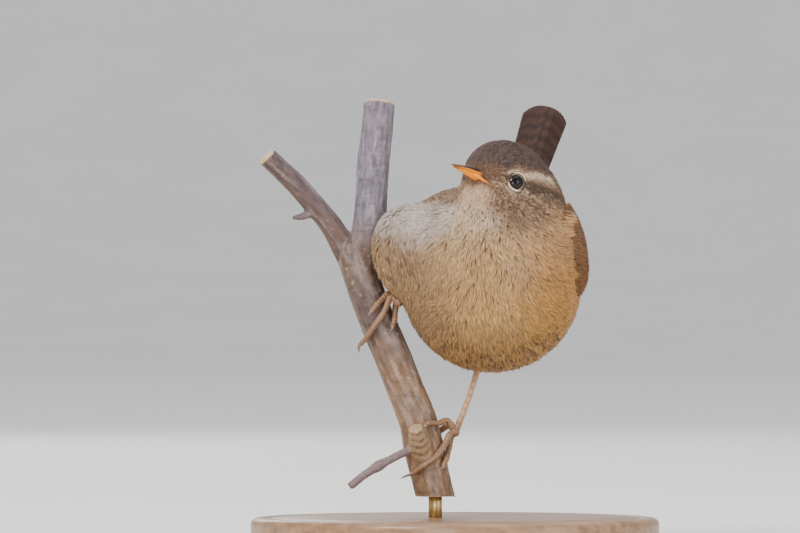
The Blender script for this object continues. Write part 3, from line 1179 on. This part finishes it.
def covertTone(t, s, p):
    # the rump's colour at the root, running into the tail's own along the feather
    tone = mixed(shades["rump"] * 0.9, tail["light"], smooth(0.4, 1, t))
    return tone * (0.85 + 0.3 * grain(p, 0.8, 43))[:, None]


def buildTail():
    # pairs from the middle outwards, each lower and swung further, then a row of coverts over and under
    feathers = []
    for k, share in enumerate(tail["lengths"]):
        tone = tailTone(12, 0.7, k)
        for side in (1, -1):
            layer = tail["layer"] * (k if side == 1 else k + 0.5)
            place = tailFeather(tailLength * share, side * (0.2 + 0.6 * k), side * (0.3 + 0.28 * k), layer,
                                tail["half"], 0.955)
            feathers.append((place, 44, 11, tail["thickness"], tone))
    for layer in tail["covertLayers"]:
        for k in range(-tail["covertReach"], tail["covertReach"] + 1):
            long = tail["covertLong"] - 0.5 * abs(k) + 0.8 * (k % 2)
            place = tailFeather(long, 1.6 * k, 0.4 * k, layer + 0.04 * k, 1.0, 0.5)
            feathers.append((place, 18, 9, tail["thickness"], covertTone))
    vanePiece("tailFan", feathers, vaneMaterial("tailVanes", 120.0, 10.0), ("tail",))


def buildTailCovert(face, label, start):
    # soft feathers in the body's colours that lap over the root of the tail, on its upper or lower face
    x, y = evenPlaces(tail["soft"])
    along, aside = -3.5 + 9.5 * x, -3.4 + 6.8 * y
    lift = face * (1.5 - 0.1 * np.maximum(0, along) - 0.05 * aside**2)
    plain = np.ones(tail["soft"], bool)
    softFans("tailCovert" + label, lambda a, c, o: onTail(a, c, start + o), along, aside, tail["softLength"],
             0.06 * aside, shades["rump"], lift - 1.3 * face, lift, -0.35 * face, ("tail",),
             tail["softSeed"], plain)


buildTail()
buildTailCovert(1, "Upper", 0.2)
buildTailCovert(-1, "Lower", -1.4)
print("tail made")

# bill: two lofts of half ellipses that meet along the gape. Nostril: how far forward and up, and its two
# reaches.
bill = {"root": 7.0, "upperTip": 20.0, "lowerTip": 19.3, "stations": 40, "around": 36, "rootHalf": 1.75,
        "tipHalf": 0.2, "nostril": (11.7, 0.62), "orange": linear(250, 147, 5), "horn": linear(54, 44, 39),
        "tip": linear(104, 80, 60), "corner": linear(156, 98, 50)}


def buildBill(name, upper):
    # half width and height fall from root to tip by powers of the share left, round a gape that curves
    # down; each ring is a half ellipse closed by a flat line
    t = np.linspace(0, 1, bill["stations"])
    turn = np.linspace(0, np.pi, bill["around"] // 2)
    reach = bill["root"] + ((bill["upperTip"] if upper else bill["lowerTip"]) - bill["root"]) * t
    half = bill["tipHalf"] + bill["rootHalf"] * (1 - t) ** 0.85
    middle = -0.35 - 0.65 * t**1.8
    gape = middle + (0.06 if upper else -0.06)
    height = 0.3 + 1.75 * (1 - t) ** 0.8 if upper else 0.22 + 1.35 * (1 - t) ** 0.8
    flatHalf = np.linspace(-1, 1, 8)[1:-1]
    aside = np.concatenate([np.cos(turn), flatHalf])
    rise = np.concatenate([np.sin(turn) ** (1.15 if upper else 0.9), 0 * flatHalf])
    l = half[:, None] * aside[None]
    u = gape[:, None] + (height - 0.1)[:, None] * rise[None] * (1 if upper else -1)
    f = np.broadcast_to(reach[:, None], l.shape)
    along, up = bill["nostril"]
    if upper:  # a nostril pressed into each side near the root
        dent = np.exp(-(((f - along) / 0.8) ** 2) - ((u - up) / 0.26) ** 2)
        l = l * (1 - 0.34 * dent)
    points, faces = solidTube(onHead(f, l, u))
    f, l, u = headPlace(points)
    ridge = smooth(0.15, 0.95, (u - np.interp(f, reach, middle)) / np.interp(f, reach, height))
    wander = (grain(points, 0.9, 51) - 0.5) * 0.25
    if upper:
        colour = mixed(bill["orange"], bill["horn"], smooth(0.0, 0.32, ridge + wander))
    else:
        colour = mixed(bill["orange"], bill["orange"] * 1.08, np.clip(ridge, 0, 1))
    colour = mixed(colour, bill["tip"], 0.75 * smooth(15.5, 19.5, f + wander * 3))
    if upper:
        hole = np.exp(-(((f - along) / 0.62) ** 2) - ((u - up) / 0.2) ** 2)
        colour = mixed(colour, bill["horn"] * 0.25, hole)
    finish = tintedMaterial(name + "Horn", 1700.0, 0.14, 0.34, bump=0.12, bumpStep=0.00008, Coat_Weight=0.12,
                            Coat_Roughness=0.25, Specular_IOR_Level=0.25)
    nodes = ("bill_upper" if upper else "bill_lower",)
    makePiece(name, points, faces, finish, nodes, tint=colour)


lip = {"route": np.array([(13.4, 0.8, -0.75), (12.2, 1.3, -0.95), (11.2, 1.9, -1.25), (10.4, 2.7, -1.7),
                          (9.8, 3.5, -2.2), (9.2, 4.3, -2.65), (8.8, 4.8, -2.9)]),
       "stations": 40, "around": 18, "radius": 0.62, "endRadius": 0.07, "farAside": 1.4, "farLow": -1.0,
       "farThin": 0.3}


def buildLips():
    # the soft corner of the mouth: a tapering roll from the bill's side back along the cheek, on both
    # sides. The far one, which feathers hide, is thinner and runs straight into the head.
    parts, tones = [], []
    forward, aside, up = lip["route"].T
    t = np.linspace(0, 1, lip["stations"])
    ends = np.append(np.repeat(t, lip["around"]), [0, 1])
    radius = lip["endRadius"] + lip["radius"] * smooth(0, 0.3, t) * (1 - t) ** 1.5
    near = smoothLine(onHead(forward, aside, up), lip["stations"])
    near = mixed(near, onCoat(near, -0.12), smooth(0.3, 0.6, t))
    far = onHead(forward, -np.minimum(aside, lip["farAside"]), np.maximum(up, lip["farLow"]))
    far = smoothLine(far, lip["stations"])
    for line, thin in ((near, 1), (far, lip["farThin"])):
        outward = line - onHead(4.0, 0.0, -1.0)
        parts.append(solidTube(limbRings(line, radius * thin, outward, lip["around"], 0.95)))
        tones.append(mixed(bill["orange"], bill["corner"], smooth(0.35, 0.9, ends)))
    points, faces = joined(parts)
    finish = tintedMaterial("mouthCorner", 1800.0, 0.16, 0.42, bump=0.15, bumpStep=0.00006,
                            Specular_IOR_Level=0.25)
    makePiece("mouthCorners", points, faces, finish, ("head",), tint=np.concatenate(tones))


buildLips()
buildBill("billUpper", True)
buildBill("billLower", False)
print("bill made")

# eyes: a ball with a dark brown iris, and a pale ring of lid that is broken in front and behind
eye = {"radius": 2.4, "around": 56, "up": 36, "iris": linear(26, 16, 11), "pupil": linear(5, 4, 4),
       "lidRadius": 2.2, "lidTube": 0.27, "lidAround": 72, "lidTurn": 14, "pleats": 26}


def sphereRings(centre, radius, axis, around, up):
    # rings between two poles on the axis: radius times (cosine of the level along the axis, and its sine
    # round it)
    level = np.linspace(0, np.pi, up + 2)[1:-1, None, None]
    turn = np.linspace(0, 2 * np.pi, around, endpoint=False)[None, :, None]
    side = unit(np.cross(axis, [0.0, 0, 1]))
    over = np.cross(axis, side)
    beside = np.cos(turn) * side + np.sin(turn) * over
    return centre + radius * (np.cos(level) * axis + np.sin(level) * beside)


def buildEye(side, label):
    # a sphere sunk behind the dish, coloured by the angle from the way it looks
    way = eyeWay[side]
    centre = eyeHollow[side] - pose["eyeSunk"] * way
    points, faces = closedTube(sphereRings(centre, eye["radius"], way, eye["around"], eye["up"]))
    points[-2:] = centre + np.array([[1], [-1]]) * eye["radius"] * way
    angle = np.degrees(np.arccos(np.clip(unit(points - centre) @ way, -1, 1)))
    colour = mixed(eye["pupil"], eye["iris"], smooth(24, 27, angle) * smooth(50, 44, angle))
    finish = tintedMaterial("eyeGloss" + label, 1500.0, 0.2, 0.07, 0.02, bump=0.02, bumpStep=0.00002,
                            Coat_Weight=0.3, Coat_Roughness=0.02, Specular_IOR_Level=0.18)
    makePiece("eye" + label, points, outwardFaces(points - centre, faces), finish,
              ("eye_" + label.lower(),), tint=colour)


def lidRing(side):
    # a torus round the eye, thicker above and below, lightly pleated
    way = eyeWay[side]
    upward = unit(headAxes[2] - (headAxes[2] @ way) * way)
    forward = np.cross(upward, way)
    centre = eyeHollow[side] + 0.08 * way
    around, turns = eye["lidAround"], eye["lidTurn"]
    a = np.linspace(0, 2 * np.pi, around, endpoint=False)[:, None]
    b = np.linspace(0, 2 * np.pi, turns, endpoint=False)[None]
    thick = eye["lidTube"] * (0.85 + 0.3 * np.sin(a) ** 2) * (1 + 0.1 * np.sin(eye["pleats"] * a))
    out = eye["lidRadius"] + thick * np.cos(b)
    points = (centre + (out * np.cos(a))[..., None] * forward + (out * np.sin(a) * 0.95)[..., None] * upward
              + (thick * np.sin(b) * 0.8)[..., None] * way).reshape(-1, 3)
    i, j = np.meshgrid(np.arange(around), np.arange(turns), indexing="ij")
    nextI, nextJ = (i + 1) % around, (j + 1) % turns
    quads = np.stack([i * turns + j, nextI * turns + j, nextI * turns + nextJ, i * turns + nextJ], -1)
    pale = np.broadcast_to(smooth(0.45, 0.9, np.abs(np.sin(a + 0.3))), (around, turns)).ravel() * 0.85
    inside = np.broadcast_to(smooth(-0.2, -0.8, np.cos(b)), (around, turns)).ravel()
    colour = mixed(mixed(shades["stripe"] * 0.9, shades["brow"], pale), eye["pupil"] * 2, inside)
    faces = outwardFaces(points - centre, (quads.reshape(-1, 4), np.zeros((0, 3), int)))
    return (points, faces), colour


def buildLids():  # the two rings as one piece
    lids = [lidRing(side) for side in (1, -1)]
    points, faces = joined([part for part, _ in lids])
    finish = tintedMaterial("lidSkin", 2400.0, 0.3, 0.55, bump=0.3)
    makePiece("eyeLids", points, faces, finish, ("head",),
              tint=np.concatenate([colour for _, colour in lids]))


buildEye(1, "Left")
buildEye(-1, "Right")
buildLids()
print("eyes made")

# branch: limbs with a radius along their length, fused into one skin of small cells, then coloured by
# place. A radius is the root's, how much it tapers, and a swelling's height, share of the length and reach.
perch = {
    "voxel": 0.42 if full else 0.8, "cut": 11.0, "around": 40, "ridges": 34,
    "trunk": [(-3.4, 0, 6.5), (-4.2, 0, 9.7), (-5.8, 0, 16.3), (-7.4, 0, 22.9), (-8.8, 0, 28.9),
              (-11.6, 0.2, 36), (-15, 0.5, 44.8), (-19.1, 1, 54.4), (-22.6, 1.8, 64.2), (-24.4, 2.6, 69.4)],
    "upright": [(-22.6, 1.8, 64.2), (-21.4, 3, 69.5), (-20.3, 4.2, 74), (-19.8, 5.4, 79.4),
                (-19.2, 7.4, 88.8), (-18.3, 9.2, 97.5), (-17.8, 10.4, 104)],
    "leftArm": [(-22.6, 1.8, 64.2), (-25.6, 2.2, 68.9), (-29.4, 2, 75), (-33, 1.6, 79.4), (-37.1, 1, 84.1),
                (-41.1, 0, 87.9), (-44.4, -1, 91.1)],
    "twig": [(-7, -1, 22.8), (-11.8, -4, 21.4), (-15.3, -5.4, 19.7), (-18.6, -6.6, 17.9), (-21.9, -7.8, 15.7),
             (-24.7, -8.8, 13.4)],
    "knob": [(-7.3, -1.5, 20.4), (-8.2, -4.2, 23), (-8.9, -6.4, 25.6), (-9.3, -7.6, 27.4)],
    "bud": [(-32.5, 1.4, 78.2), (-35.3, 0.6, 76.9), (-37.2, 0.2, 76.5), (-38.4, 0, 76.5)],
    "grey": linear(116, 109, 124), "mauve": linear(98, 80, 78), "brown": linear(84, 60, 46),
    "tan": linear(126, 96, 68), "lenticel": linear(190, 170, 150), "scar": linear(66, 48, 38),
    "wood": linear(206, 176, 134), "pale": linear(176, 160, 156),
}
limbRadii = {"trunk": (4.55, 0.45, 0.35, 0.24, 0.09), "upright": (3.95, 0.2, 0, 0, 1),
             "leftArm": (2.75, 0.4, 0.7, 0, 0.2), "twig": (1.05, 0, 0.35, 0.6, 0.07),
             "knob": (2.9, 1.15, 0, 0, 1)}
limbNumber = {"trunk": 0, "upright": 1, "leftArm": 2, "twig": 3, "knob": 4, "bud": 5}


def limbRadius(name, t):
    # the root's radius less the taper, plus a swelling shaped as exp(-(distance / reach) squared); the
    # bud's is a part of a sine
    if name == "bud":
        return 0.35 + 0.65 * np.sin(np.pi * (0.2 + 0.75 * t))
    root, taper, swell, at, reach = limbRadii[name]
    return root - taper * t + swell * np.exp(-(((t - at) / reach) ** 2))


limbs = {}
for name in limbNumber:
    line = smoothLine(perch[name], 120 if name in ("trunk", "upright", "leftArm") else 48)
    limbs[name] = (line, limbRadius(name, np.linspace(0, 1, len(line))))


def limbTube(name):
    # circles along the limb's line, made a little uneven by sines of the turn and the length; the broken
    # stub is ridged round its outer part
    line, radius = limbs[name]
    run = np.linspace(0, 1, len(line))[:, None]
    turn = np.linspace(0, 2 * np.pi, perch["around"], endpoint=False)[None]
    wave = 1 + 0.012 * np.sin(3 * turn + 9 * run) + 0.01 * np.sin(5 * turn - 14 * run)
    if name == "knob":
        ridges = 0.05 * np.sin(7 * turn + 3 * run) + 0.055 * np.sin(perch["ridges"] * run)
        wave = wave + ridges * smooth(0.1, 0.4, run)
    outward = np.tile([0.2, -1.0, 0.1], (len(line), 1))
    return solidTube(limbRings(line, radius[:, None] * wave, outward, perch["around"]))


def fusedLimbs():
    # the limbs' tubes as one skin of square cells, evened out by moving each point towards its neighbours'
    # mean
    points, (quads, fans) = joined([limbTube(name) for name in limbs])
    mesh = bpy.data.meshes.new("perchLimbs")
    mesh.from_pydata((points * mm).tolist(), [], quads.tolist() + fans.tolist())
    holder = bpy.data.objects.new("perchLimbs", mesh)
    bpy.context.scene.collection.objects.link(holder)
    remesh = holder.modifiers.new("fuse", "REMESH")
    remesh.mode, remesh.voxel_size, remesh.adaptivity = "VOXEL", perch["voxel"] * mm, 0.0
    fused = holder.evaluated_get(bpy.context.evaluated_depsgraph_get()).to_mesh()
    count = len(fused.vertices)
    p = np.zeros(count * 3, np.float32)
    fused.vertices.foreach_get("co", p)
    p = p.reshape(-1, 3).astype(float) / mm
    corners = np.zeros(len(fused.loops), np.int32)
    fused.loops.foreach_get("vertex_index", corners)
    quads = corners.reshape(-1, 4)
    holder.to_mesh_clear()
    bpy.data.objects.remove(holder)
    bpy.data.meshes.remove(mesh)
    for step in range(4):
        total, links = np.zeros_like(p), np.zeros(count)
        for a in range(4):
            np.add.at(total, quads[:, a], p[quads[:, (a + 1) % 4]])
            np.add.at(links, quads[:, a], 1)
        p = p * 0.45 + 0.55 * total / links[:, None]
    return p, quads


def nearestLimb(p):
    # for each point the number of the limb whose surface is nearest, its share of the length, and the way
    # out
    best = np.full(len(p), 1e9)
    along, which, outward = np.zeros(len(p)), np.zeros(len(p), int), np.zeros((len(p), 3))
    for number, (line, radius) in enumerate(limbs.values()):
        gaps = np.linalg.norm(p[:, None] - line[None, ::2], axis=-1) - radius[None, ::2]
        at = gaps.argmin(1)
        gap = gaps[np.arange(len(p)), at]
        nearer = gap < best
        best[nearer] = gap[nearer]
        along[nearer] = at[nearer] * 2 / (len(line) - 1)
        which[nearer] = number
        outward[nearer] = unit(p[nearer] - line[::2][at[nearer]])
    return along, which, outward


def near(p, place, reach):  # 1 at a place, falling as exp(-(distance / reach) squared)
    return np.exp(-(((p - place) / reach) ** 2).sum(1))


def buildPerch():
    # relief and colour from grains on a place made of the turn round the limb and the height, so that they
    # run along the wood, then zones by height and limb, cracks, lenticels, and cut ends
    p, quads = fusedLimbs()
    along, which, outward = nearestLimb(p)
    on = {name: which == number for name, number in limbNumber.items()}
    turn = np.arctan2(outward[:, 1], outward[:, 0])
    bark = np.stack([np.cos(turn) * 3.2, np.sin(turn) * 3.2, p[:, 2] * 0.2 + which * 40], -1)
    fine = grain(bark, 0.42, 61) - 0.5
    broad = grain(bark * [1, 1, 1.6], 2.2, 62) - 0.5
    dots = smooth(0.78, 0.88, grain(bark * [1, 1, 4.5], 0.62, 63))
    cracks = smooth(0.74, 0.86, grain(bark * [0.6, 0.6, 12], 1.5, 64))
    relief = 0.2 * fine + 0.24 * broad + 0.1 * dots - 0.1 * cracks
    cutEnd = (along < 0.01) | (along > 0.99)
    p = p + outward * (relief * ~cutEnd)[:, None] * 0.7
    p[:, 2] = np.maximum(p[:, 2], perch["cut"])
    high, under = p[:, 2], smooth(0.3, -0.6, outward[:, 2] - 0.35 * outward[:, 0])
    colour = np.tile(perch["tan"], (len(p), 1))
    colour = mixed(colour, perch["grey"], smooth(60, 80, high) * ~on["twig"] * 0.9)
    colour = mixed(colour, perch["mauve"], smooth(34, 52, high) * smooth(72, 60, high) * 0.6)
    colour = mixed(colour, perch["brown"], on["leftArm"] * under * 0.8)
    colour = mixed(colour, perch["brown"], near(p, [-23, 1.8, 66], 5.5) * 0.75)
    colour = mixed(colour, perch["mauve"] * 0.6, near(p, [-20, -2, 57], 8) * 0.75)
    colour = mixed(colour, perch["brown"], (on["knob"] | on["bud"]) * 0.6)
    colour = mixed(colour, perch["brown"], smooth(0.08, 0.34, broad) * 0.35)
    colour = mixed(colour, perch["lenticel"], dots * 0.35)
    colour = mixed(colour, perch["scar"], cracks * 0.4)
    colour = mixed(colour, perch["brown"] * 0.85, on["leftArm"] * 0.7)
    streak = smooth(0.55, 0.7, grain(bark * [1, 1, 0.5], 0.9, 66))
    colour = mixed(colour, perch["pale"], streak * 0.24)
    colour = colour * np.clip(1 + 1.1 * fine + 0.5 * broad, 0.4, 1.6)[:, None]
    sawn = ((on["upright"] | on["leftArm"]) & (along > 0.985)) | (high < perch["cut"] + 0.05)
    colour = mixed(colour, perch["wood"] * (0.85 + 0.3 * grain(p, 0.5, 65))[:, None], sawn * 0.85)
    # the twig is greyer, and the broken stub is bare wood with dark grooves and a pale end
    colour = mixed(colour, perch["grey"], on["twig"] * 0.5)
    colour = mixed(colour, (perch["tan"] + perch["wood"]) / 2, on["knob"] * 0.75)
    grooves = smooth(-0.3, -0.9, np.sin(perch["ridges"] * along + 2.5 * broad)) * smooth(-0.3, 0.2, fine)
    colour = mixed(colour, perch["scar"], on["knob"] * grooves * 0.8)
    colour = mixed(colour, perch["wood"] * 0.7, (on["knob"] & (along > 0.9)) * 0.6)
    finish = tintedMaterial("branchBark", 1300.0, 0.32, 0.72, bump=0.6, bumpStep=0.00025)
    makePiece("perchBranch", p, (quads,), finish,
              ("perch_trunk", "perch_upright_arm", "perch_left_arm", "perch_twig"), tint=colour)
    print("perch has", len(quads) * 2, "triangles")


buildPerch()

# legs and feet: the toes follow the branch, each with rings of scutes and a curved claw
leg = {"toe": 0.74, "tarsus": 0.72, "pad": 1.15, "padWay": np.array([0.0, -1, 0.2]) / 1.02, "clawRadius": 0.5,
       "clawArch": 0.45, "toeStations": 72, "clawStations": 26, "clawAround": 14, "shankStations": 90,
       "around": 18, "trunkCore": -4.9, "skin": linear(186, 144, 104), "toeSkin": linear(126, 90, 62),
       "seam": linear(104, 78, 58), "claw": linear(132, 108, 98), "clawTip": linear(142, 122, 116)}
# each foot: its joint, the stops of its four toes as (height, degrees round the trunk, lift), the last of
# them at the claw's tip, the shank's line, and how many scutes the shank has
toes = {
    "left": (np.array([0, -1.6, 26.1]), [
        [(27, 74, 2.3), (27.2, 50, 0.9), (27.6, 24, 0.8), (27.4, 12, 0.7), (26.9, 4, 0.35)],
        [(24.4, 72, 2.6), (21.6, 52, 1), (19.4, 18, 0.75), (18.2, -14, 0.75), (17.4, -44, 0.9),
         (16.6, -78, 2.3)],
        [(24.2, 88, 2.6), (21.2, 78, 1.1), (18.8, 56, 0.8), (17.5, 36, 0.75), (16.6, 26, 0.35)],
        [(26, 112, 2.6), (25, 140, 1), (23.6, 172, 0.8), (22.6, 196, 0.75), (21.8, 212, 0.4)],
    ], [(0.2, -1.6, 26.4), (2.1, -0.7, 31), (4.1, 0.4, 36.6), (6, 1.8, 43)], 10),
    "right": (np.array([-13.3, -3.6, 56.6]), [
        [(57, 58, 1.6), (56.2, 38, 0.8), (55, 12, 0.75), (54.2, -8, 0.7), (53.6, -20, 0.35)],
        [(55.6, 52, 1.8), (53.4, 22, 1), (51.2, -16, 0.8), (49.6, -52, 0.85), (48.8, -76, 1.2),
         (47.6, -92, 2.2)],
        [(54.6, 70, 1.7), (52.6, 60, 0.9), (50.6, 42, 0.75), (49.6, 28, 0.7), (48.8, 20, 0.35)],
        [(56.4, 104, 1.7), (55.2, 138, 0.9), (53.8, 170, 0.8), (52.8, 196, 0.75), (52, 212, 0.4)],
    ], [(-13.2, -3.6, 56.8), (-10.4, -2.8, 58.2), (-7, -1.6, 60)], 4),
}


def onTrunk(height, degrees, lift):
    # the trunk's line at a height, plus its radius and the lift, turned by degrees from the front to the
    # right
    line = limbs["trunk"][0]
    k = int(np.abs(line[:, 2] - height).argmin())
    along = unit(line[min(k + 1, len(line) - 1)] - line[max(k - 1, 0)])
    right = unit(np.array([1.0, 0, 0]) - along[0] * along)
    front = np.array([0.0, -1, 0]) + along[1] * along
    front = unit(front - (front @ right) * right)
    root, taper, swell, *_ = limbRadii["trunk"]
    out = root - taper * k / (len(line) - 1) + swell + lift
    angle = math.radians(degrees)
    return line[k] + out * (right * math.sin(angle) + front * math.cos(angle))


def trunkCore(line):  # the middle of the trunk at the height of each point of a line
    return np.stack([onTrunk(z, 0, leg["trunkCore"]) for z in line[:, 2]])


def scaleRings(line, radius, outward, scutes, depth):
    # rings whose radius dips at the edge of each scute as exp(-(distance / 0.16) squared) and swells at its
    # middle, on the outer side only
    run = np.linspace(0, 1, len(line))
    turn = np.linspace(0, 2 * np.pi, leg["around"], endpoint=False)
    saw = (run * scutes) % 1
    dip = np.exp(-((np.minimum(saw, 1 - saw) / 0.16) ** 2))
    face = smooth(-0.5, 0.3, np.cos(turn))
    wave = 1 - depth * dip[:, None] * face[None] + 0.05 * np.sin(np.pi * saw)[:, None] * face[None]
    return limbRings(line, radius[:, None] * wave, outward, leg["around"]), dip[:, None] * face[None]


def toePart(path, number):
    # a tube along the path up to the claw, thinner towards it, with a swelling at each of about three
    # knuckles
    line = smoothLine(path, leg["toeStations"])
    outward = line - trunkCore(line)
    run = np.concatenate([[0], np.cumsum(np.linalg.norm(np.diff(line, axis=0), axis=1))])
    clawAt = int(np.abs(line - path[-2]).sum(1).argmin())
    share, upTo = run / run[clawAt], clawAt + 1
    knuckles = 1 + 0.14 * np.exp(-((share * 3.2 % 1 - 0.5) / 0.2) ** 2)
    radius = leg["toe"] * (1.05 - 0.27 * share) * knuckles
    scutes = max(6, int(run[clawAt] * 1.25))
    rings, dip = scaleRings(line[:upTo], radius[:upTo], outward[:upTo], scutes, 0.13)
    points, faces = solidTube(rings)
    shade = mixed(leg["toeSkin"], leg["skin"], 0.35 * grain(points, 1.1, 71 + number))
    return (points, faces), mixed(shade, leg["seam"], 0.7 * np.append(dip.ravel(), [0, 0]))


def clawPart(path):
    # a cone from just inside the toe to the path's end, arched away from the trunk by half a sine
    root = path[-2] - 0.35 * unit(path[-2] - path[-3])
    line = smoothLine([root] + path[-2:], leg["clawStations"])
    core = trunkCore(line)
    t = np.linspace(0, 1, leg["clawStations"])
    line = line + unit(line - core) * (leg["clawArch"] * np.sin(np.pi * t))[:, None]
    rings = limbRings(line, leg["clawRadius"] * (1 - t) ** 0.8 + 0.06, line - core, leg["clawAround"], 0.72)
    tone = mixed(leg["claw"], leg["clawTip"], np.append(np.repeat(t, leg["clawAround"]), [0, 1]))
    return solidTube(rings), tone


def shankPart(stops, scutes):
    # a tube along the shank, thinnest at its middle and thicker at its top
    stations = leg["shankStations"]
    line = smoothLine(stops, stations)
    t = np.linspace(0, 1, stations)
    radius = leg["tarsus"] * (1.12 - 0.2 * np.sin(np.pi * t) + 0.25 * smooth(0.85, 1, t))
    rings, dip = scaleRings(line, radius, np.tile([0.1, -1.0, 0.1], (stations, 1)), scutes, 0.1)
    upward = smooth(0, 0.25, np.append(np.repeat(t, leg["around"]), [0, 1]))
    tone = mixed(leg["toeSkin"], leg["skin"], upward)
    return solidTube(rings), mixed(tone, leg["seam"], 0.5 * np.append(dip.ravel(), [0, 0]))


def buildFoot(label):
    # four toes and a round pad at the joint as one piece, the claws as another; the left shank is a piece
    # of its own and the right one, which plumage hides, belongs to the foot
    joint, routes, shankStops, scutes = toes[label]
    paths = [[joint] + [onTrunk(*stop) for stop in route] for route in routes]
    parts = [toePart(path, number) for number, path in enumerate(paths)]
    claws = [clawPart(path) for path in paths]
    pad, faces = closedTube(sphereRings(joint, leg["pad"], leg["padWay"], 22, 14))
    parts.append(((pad, outwardFaces(pad - joint, faces)), np.tile(leg["toeSkin"] * 1.1, (len(pad), 1))))
    shank = shankPart(shankStops, scutes)
    if label == "right":
        parts.append(shank)
    side = label.title()
    finish = tintedMaterial("scaledSkin" + side, 1900.0, 0.2, 0.45, bump=0.3, Coat_Weight=0.15,
                            Coat_Roughness=0.35)
    horn = tintedMaterial("clawHorn" + side, 2200.0, 0.2, 0.35, bump=0.15, Coat_Weight=0.2)
    for name, pieces, material in (("toes", parts, finish), ("claws", claws, horn)):
        points, faces = joined([piece for piece, _ in pieces])
        makePiece(name + side, points, faces, material, ("foot_" + label,),
                  tint=np.concatenate([tone for _, tone in pieces]))
    if label == "left":
        (points, faces), tone = shank
        makePiece("tarsusLeft", points, faces, finish, ("leg_left",), tint=tone)


buildFoot("left")
buildFoot("right")
print("feet made")

# stand: a turned wooden base and a metal rod, each a profile spun round its own axis
stand = {"radius": 48.0, "thickness": 6.0, "edge": 1.6, "grooveIn": 4.0, "grooveDeep": 0.25, "around": 160,
         "darkWood": linear(122, 88, 62), "paleWood": linear(168, 130, 96), "figure": (0.12, 1.0, 1.0),
         "rodRadius": 1.6, "rodX": -4.6, "rodLow": 5.8, "rodHigh": 11.3, "rodEdge": 0.15, "rodAround": 48,
         "brass": linear(186, 158, 104)}


def spun(profile, centreX, around):
    # each (radius, height) of the profile carried round a vertical axis at centreX
    turn = np.linspace(0, 2 * np.pi, around, endpoint=False)
    profile = np.array(profile)
    rings = np.stack(np.broadcast_arrays(
        centreX + profile[:, :1] * np.cos(turn), profile[:, :1] * np.sin(turn), profile[:, 1:]
    ), -1)
    return solidTube(rings)


def turnedBeech():
    # a noise stretched along x as the wood's figure, over two browns
    wood, tree, shader = newMaterial("turnedBeech")
    link = tree.links.new
    place = node(tree, "ShaderNodeTexCoord")
    long = node(tree, "ShaderNodeMapping")
    long.inputs["Scale"].default_value = stand["figure"]
    link(place.outputs["Object"], long.inputs["Vector"])
    figure = node(tree, "ShaderNodeTexNoise", Scale=420.0, Detail=4.0, Distortion=0.6)
    link(long.outputs["Vector"], figure.inputs["Vector"])
    ramp = node(tree, "ShaderNodeValToRGB")
    dark, pale = ramp.color_ramp.elements
    dark.position, pale.position = 0.3, 0.72
    dark.color, pale.color = (*stand["darkWood"], 1), (*stand["paleWood"], 1)
    link(figure.outputs["Fac"], ramp.inputs["Fac"])
    mottle = addMottle(tree, shader, 900.0, 0.2, 0.36, 0.5)
    link(ramp.outputs["Color"], mottle.inputs["Color"])
    addBump(tree, shader, figure.outputs["Fac"], 0.3, 0.0001)
    shader.inputs["Coat Weight"].default_value = 0.2
    return wood


def buildBase():
    # a small round at the foot, a larger one at the rim and a shallow groove inside it
    r, h, e = stand["radius"], stand["thickness"], stand["edge"]
    a = np.linspace(0, np.pi / 2, 10)[:, None]
    low = np.concatenate([r - e * 0.5 + e * 0.5 * np.sin(a), e * 0.5 - e * 0.5 * np.cos(a)], 1)
    high = np.concatenate([r - e + e * np.cos(a), h - e + e * np.sin(a)], 1)
    inner, deep = r - stand["grooveIn"], h - stand["grooveDeep"]
    top = [(inner, h), (inner - 0.3, deep), (inner - 0.9, deep), (inner - 1.2, h), (30, h), (15, h), (5, h)]
    points, faces = spun([(5, 0), (30, 0)] + low.tolist() + high.tolist() + top, 0.0, stand["around"])
    makePiece("standBase", points, faces, turnedBeech(), ("stand_base",))


def buildRod():
    # a round bar with bevelled ends
    r, c, low, high = stand["rodRadius"], stand["rodEdge"], stand["rodLow"], stand["rodHigh"]
    profile = [(0.5, low), (r - c, low), (r, low + c), (r, (low + high) / 2), (r, high - c), (r - c, high),
               (0.5, high)]
    points, faces = spun(profile, stand["rodX"], stand["rodAround"])
    brass, tree, shader = newMaterial("brushedBrass")
    mottle = addMottle(tree, shader, 3000.0, 0.12, 0.25, 0.4)
    mottle.inputs["Color"].default_value = (*stand["brass"], 1)
    shader.inputs["Metallic"].default_value = 1.0
    makePiece("standRod", points, faces, brass, ("stand_rod",))


buildBase()
buildRod()
print("stand made")
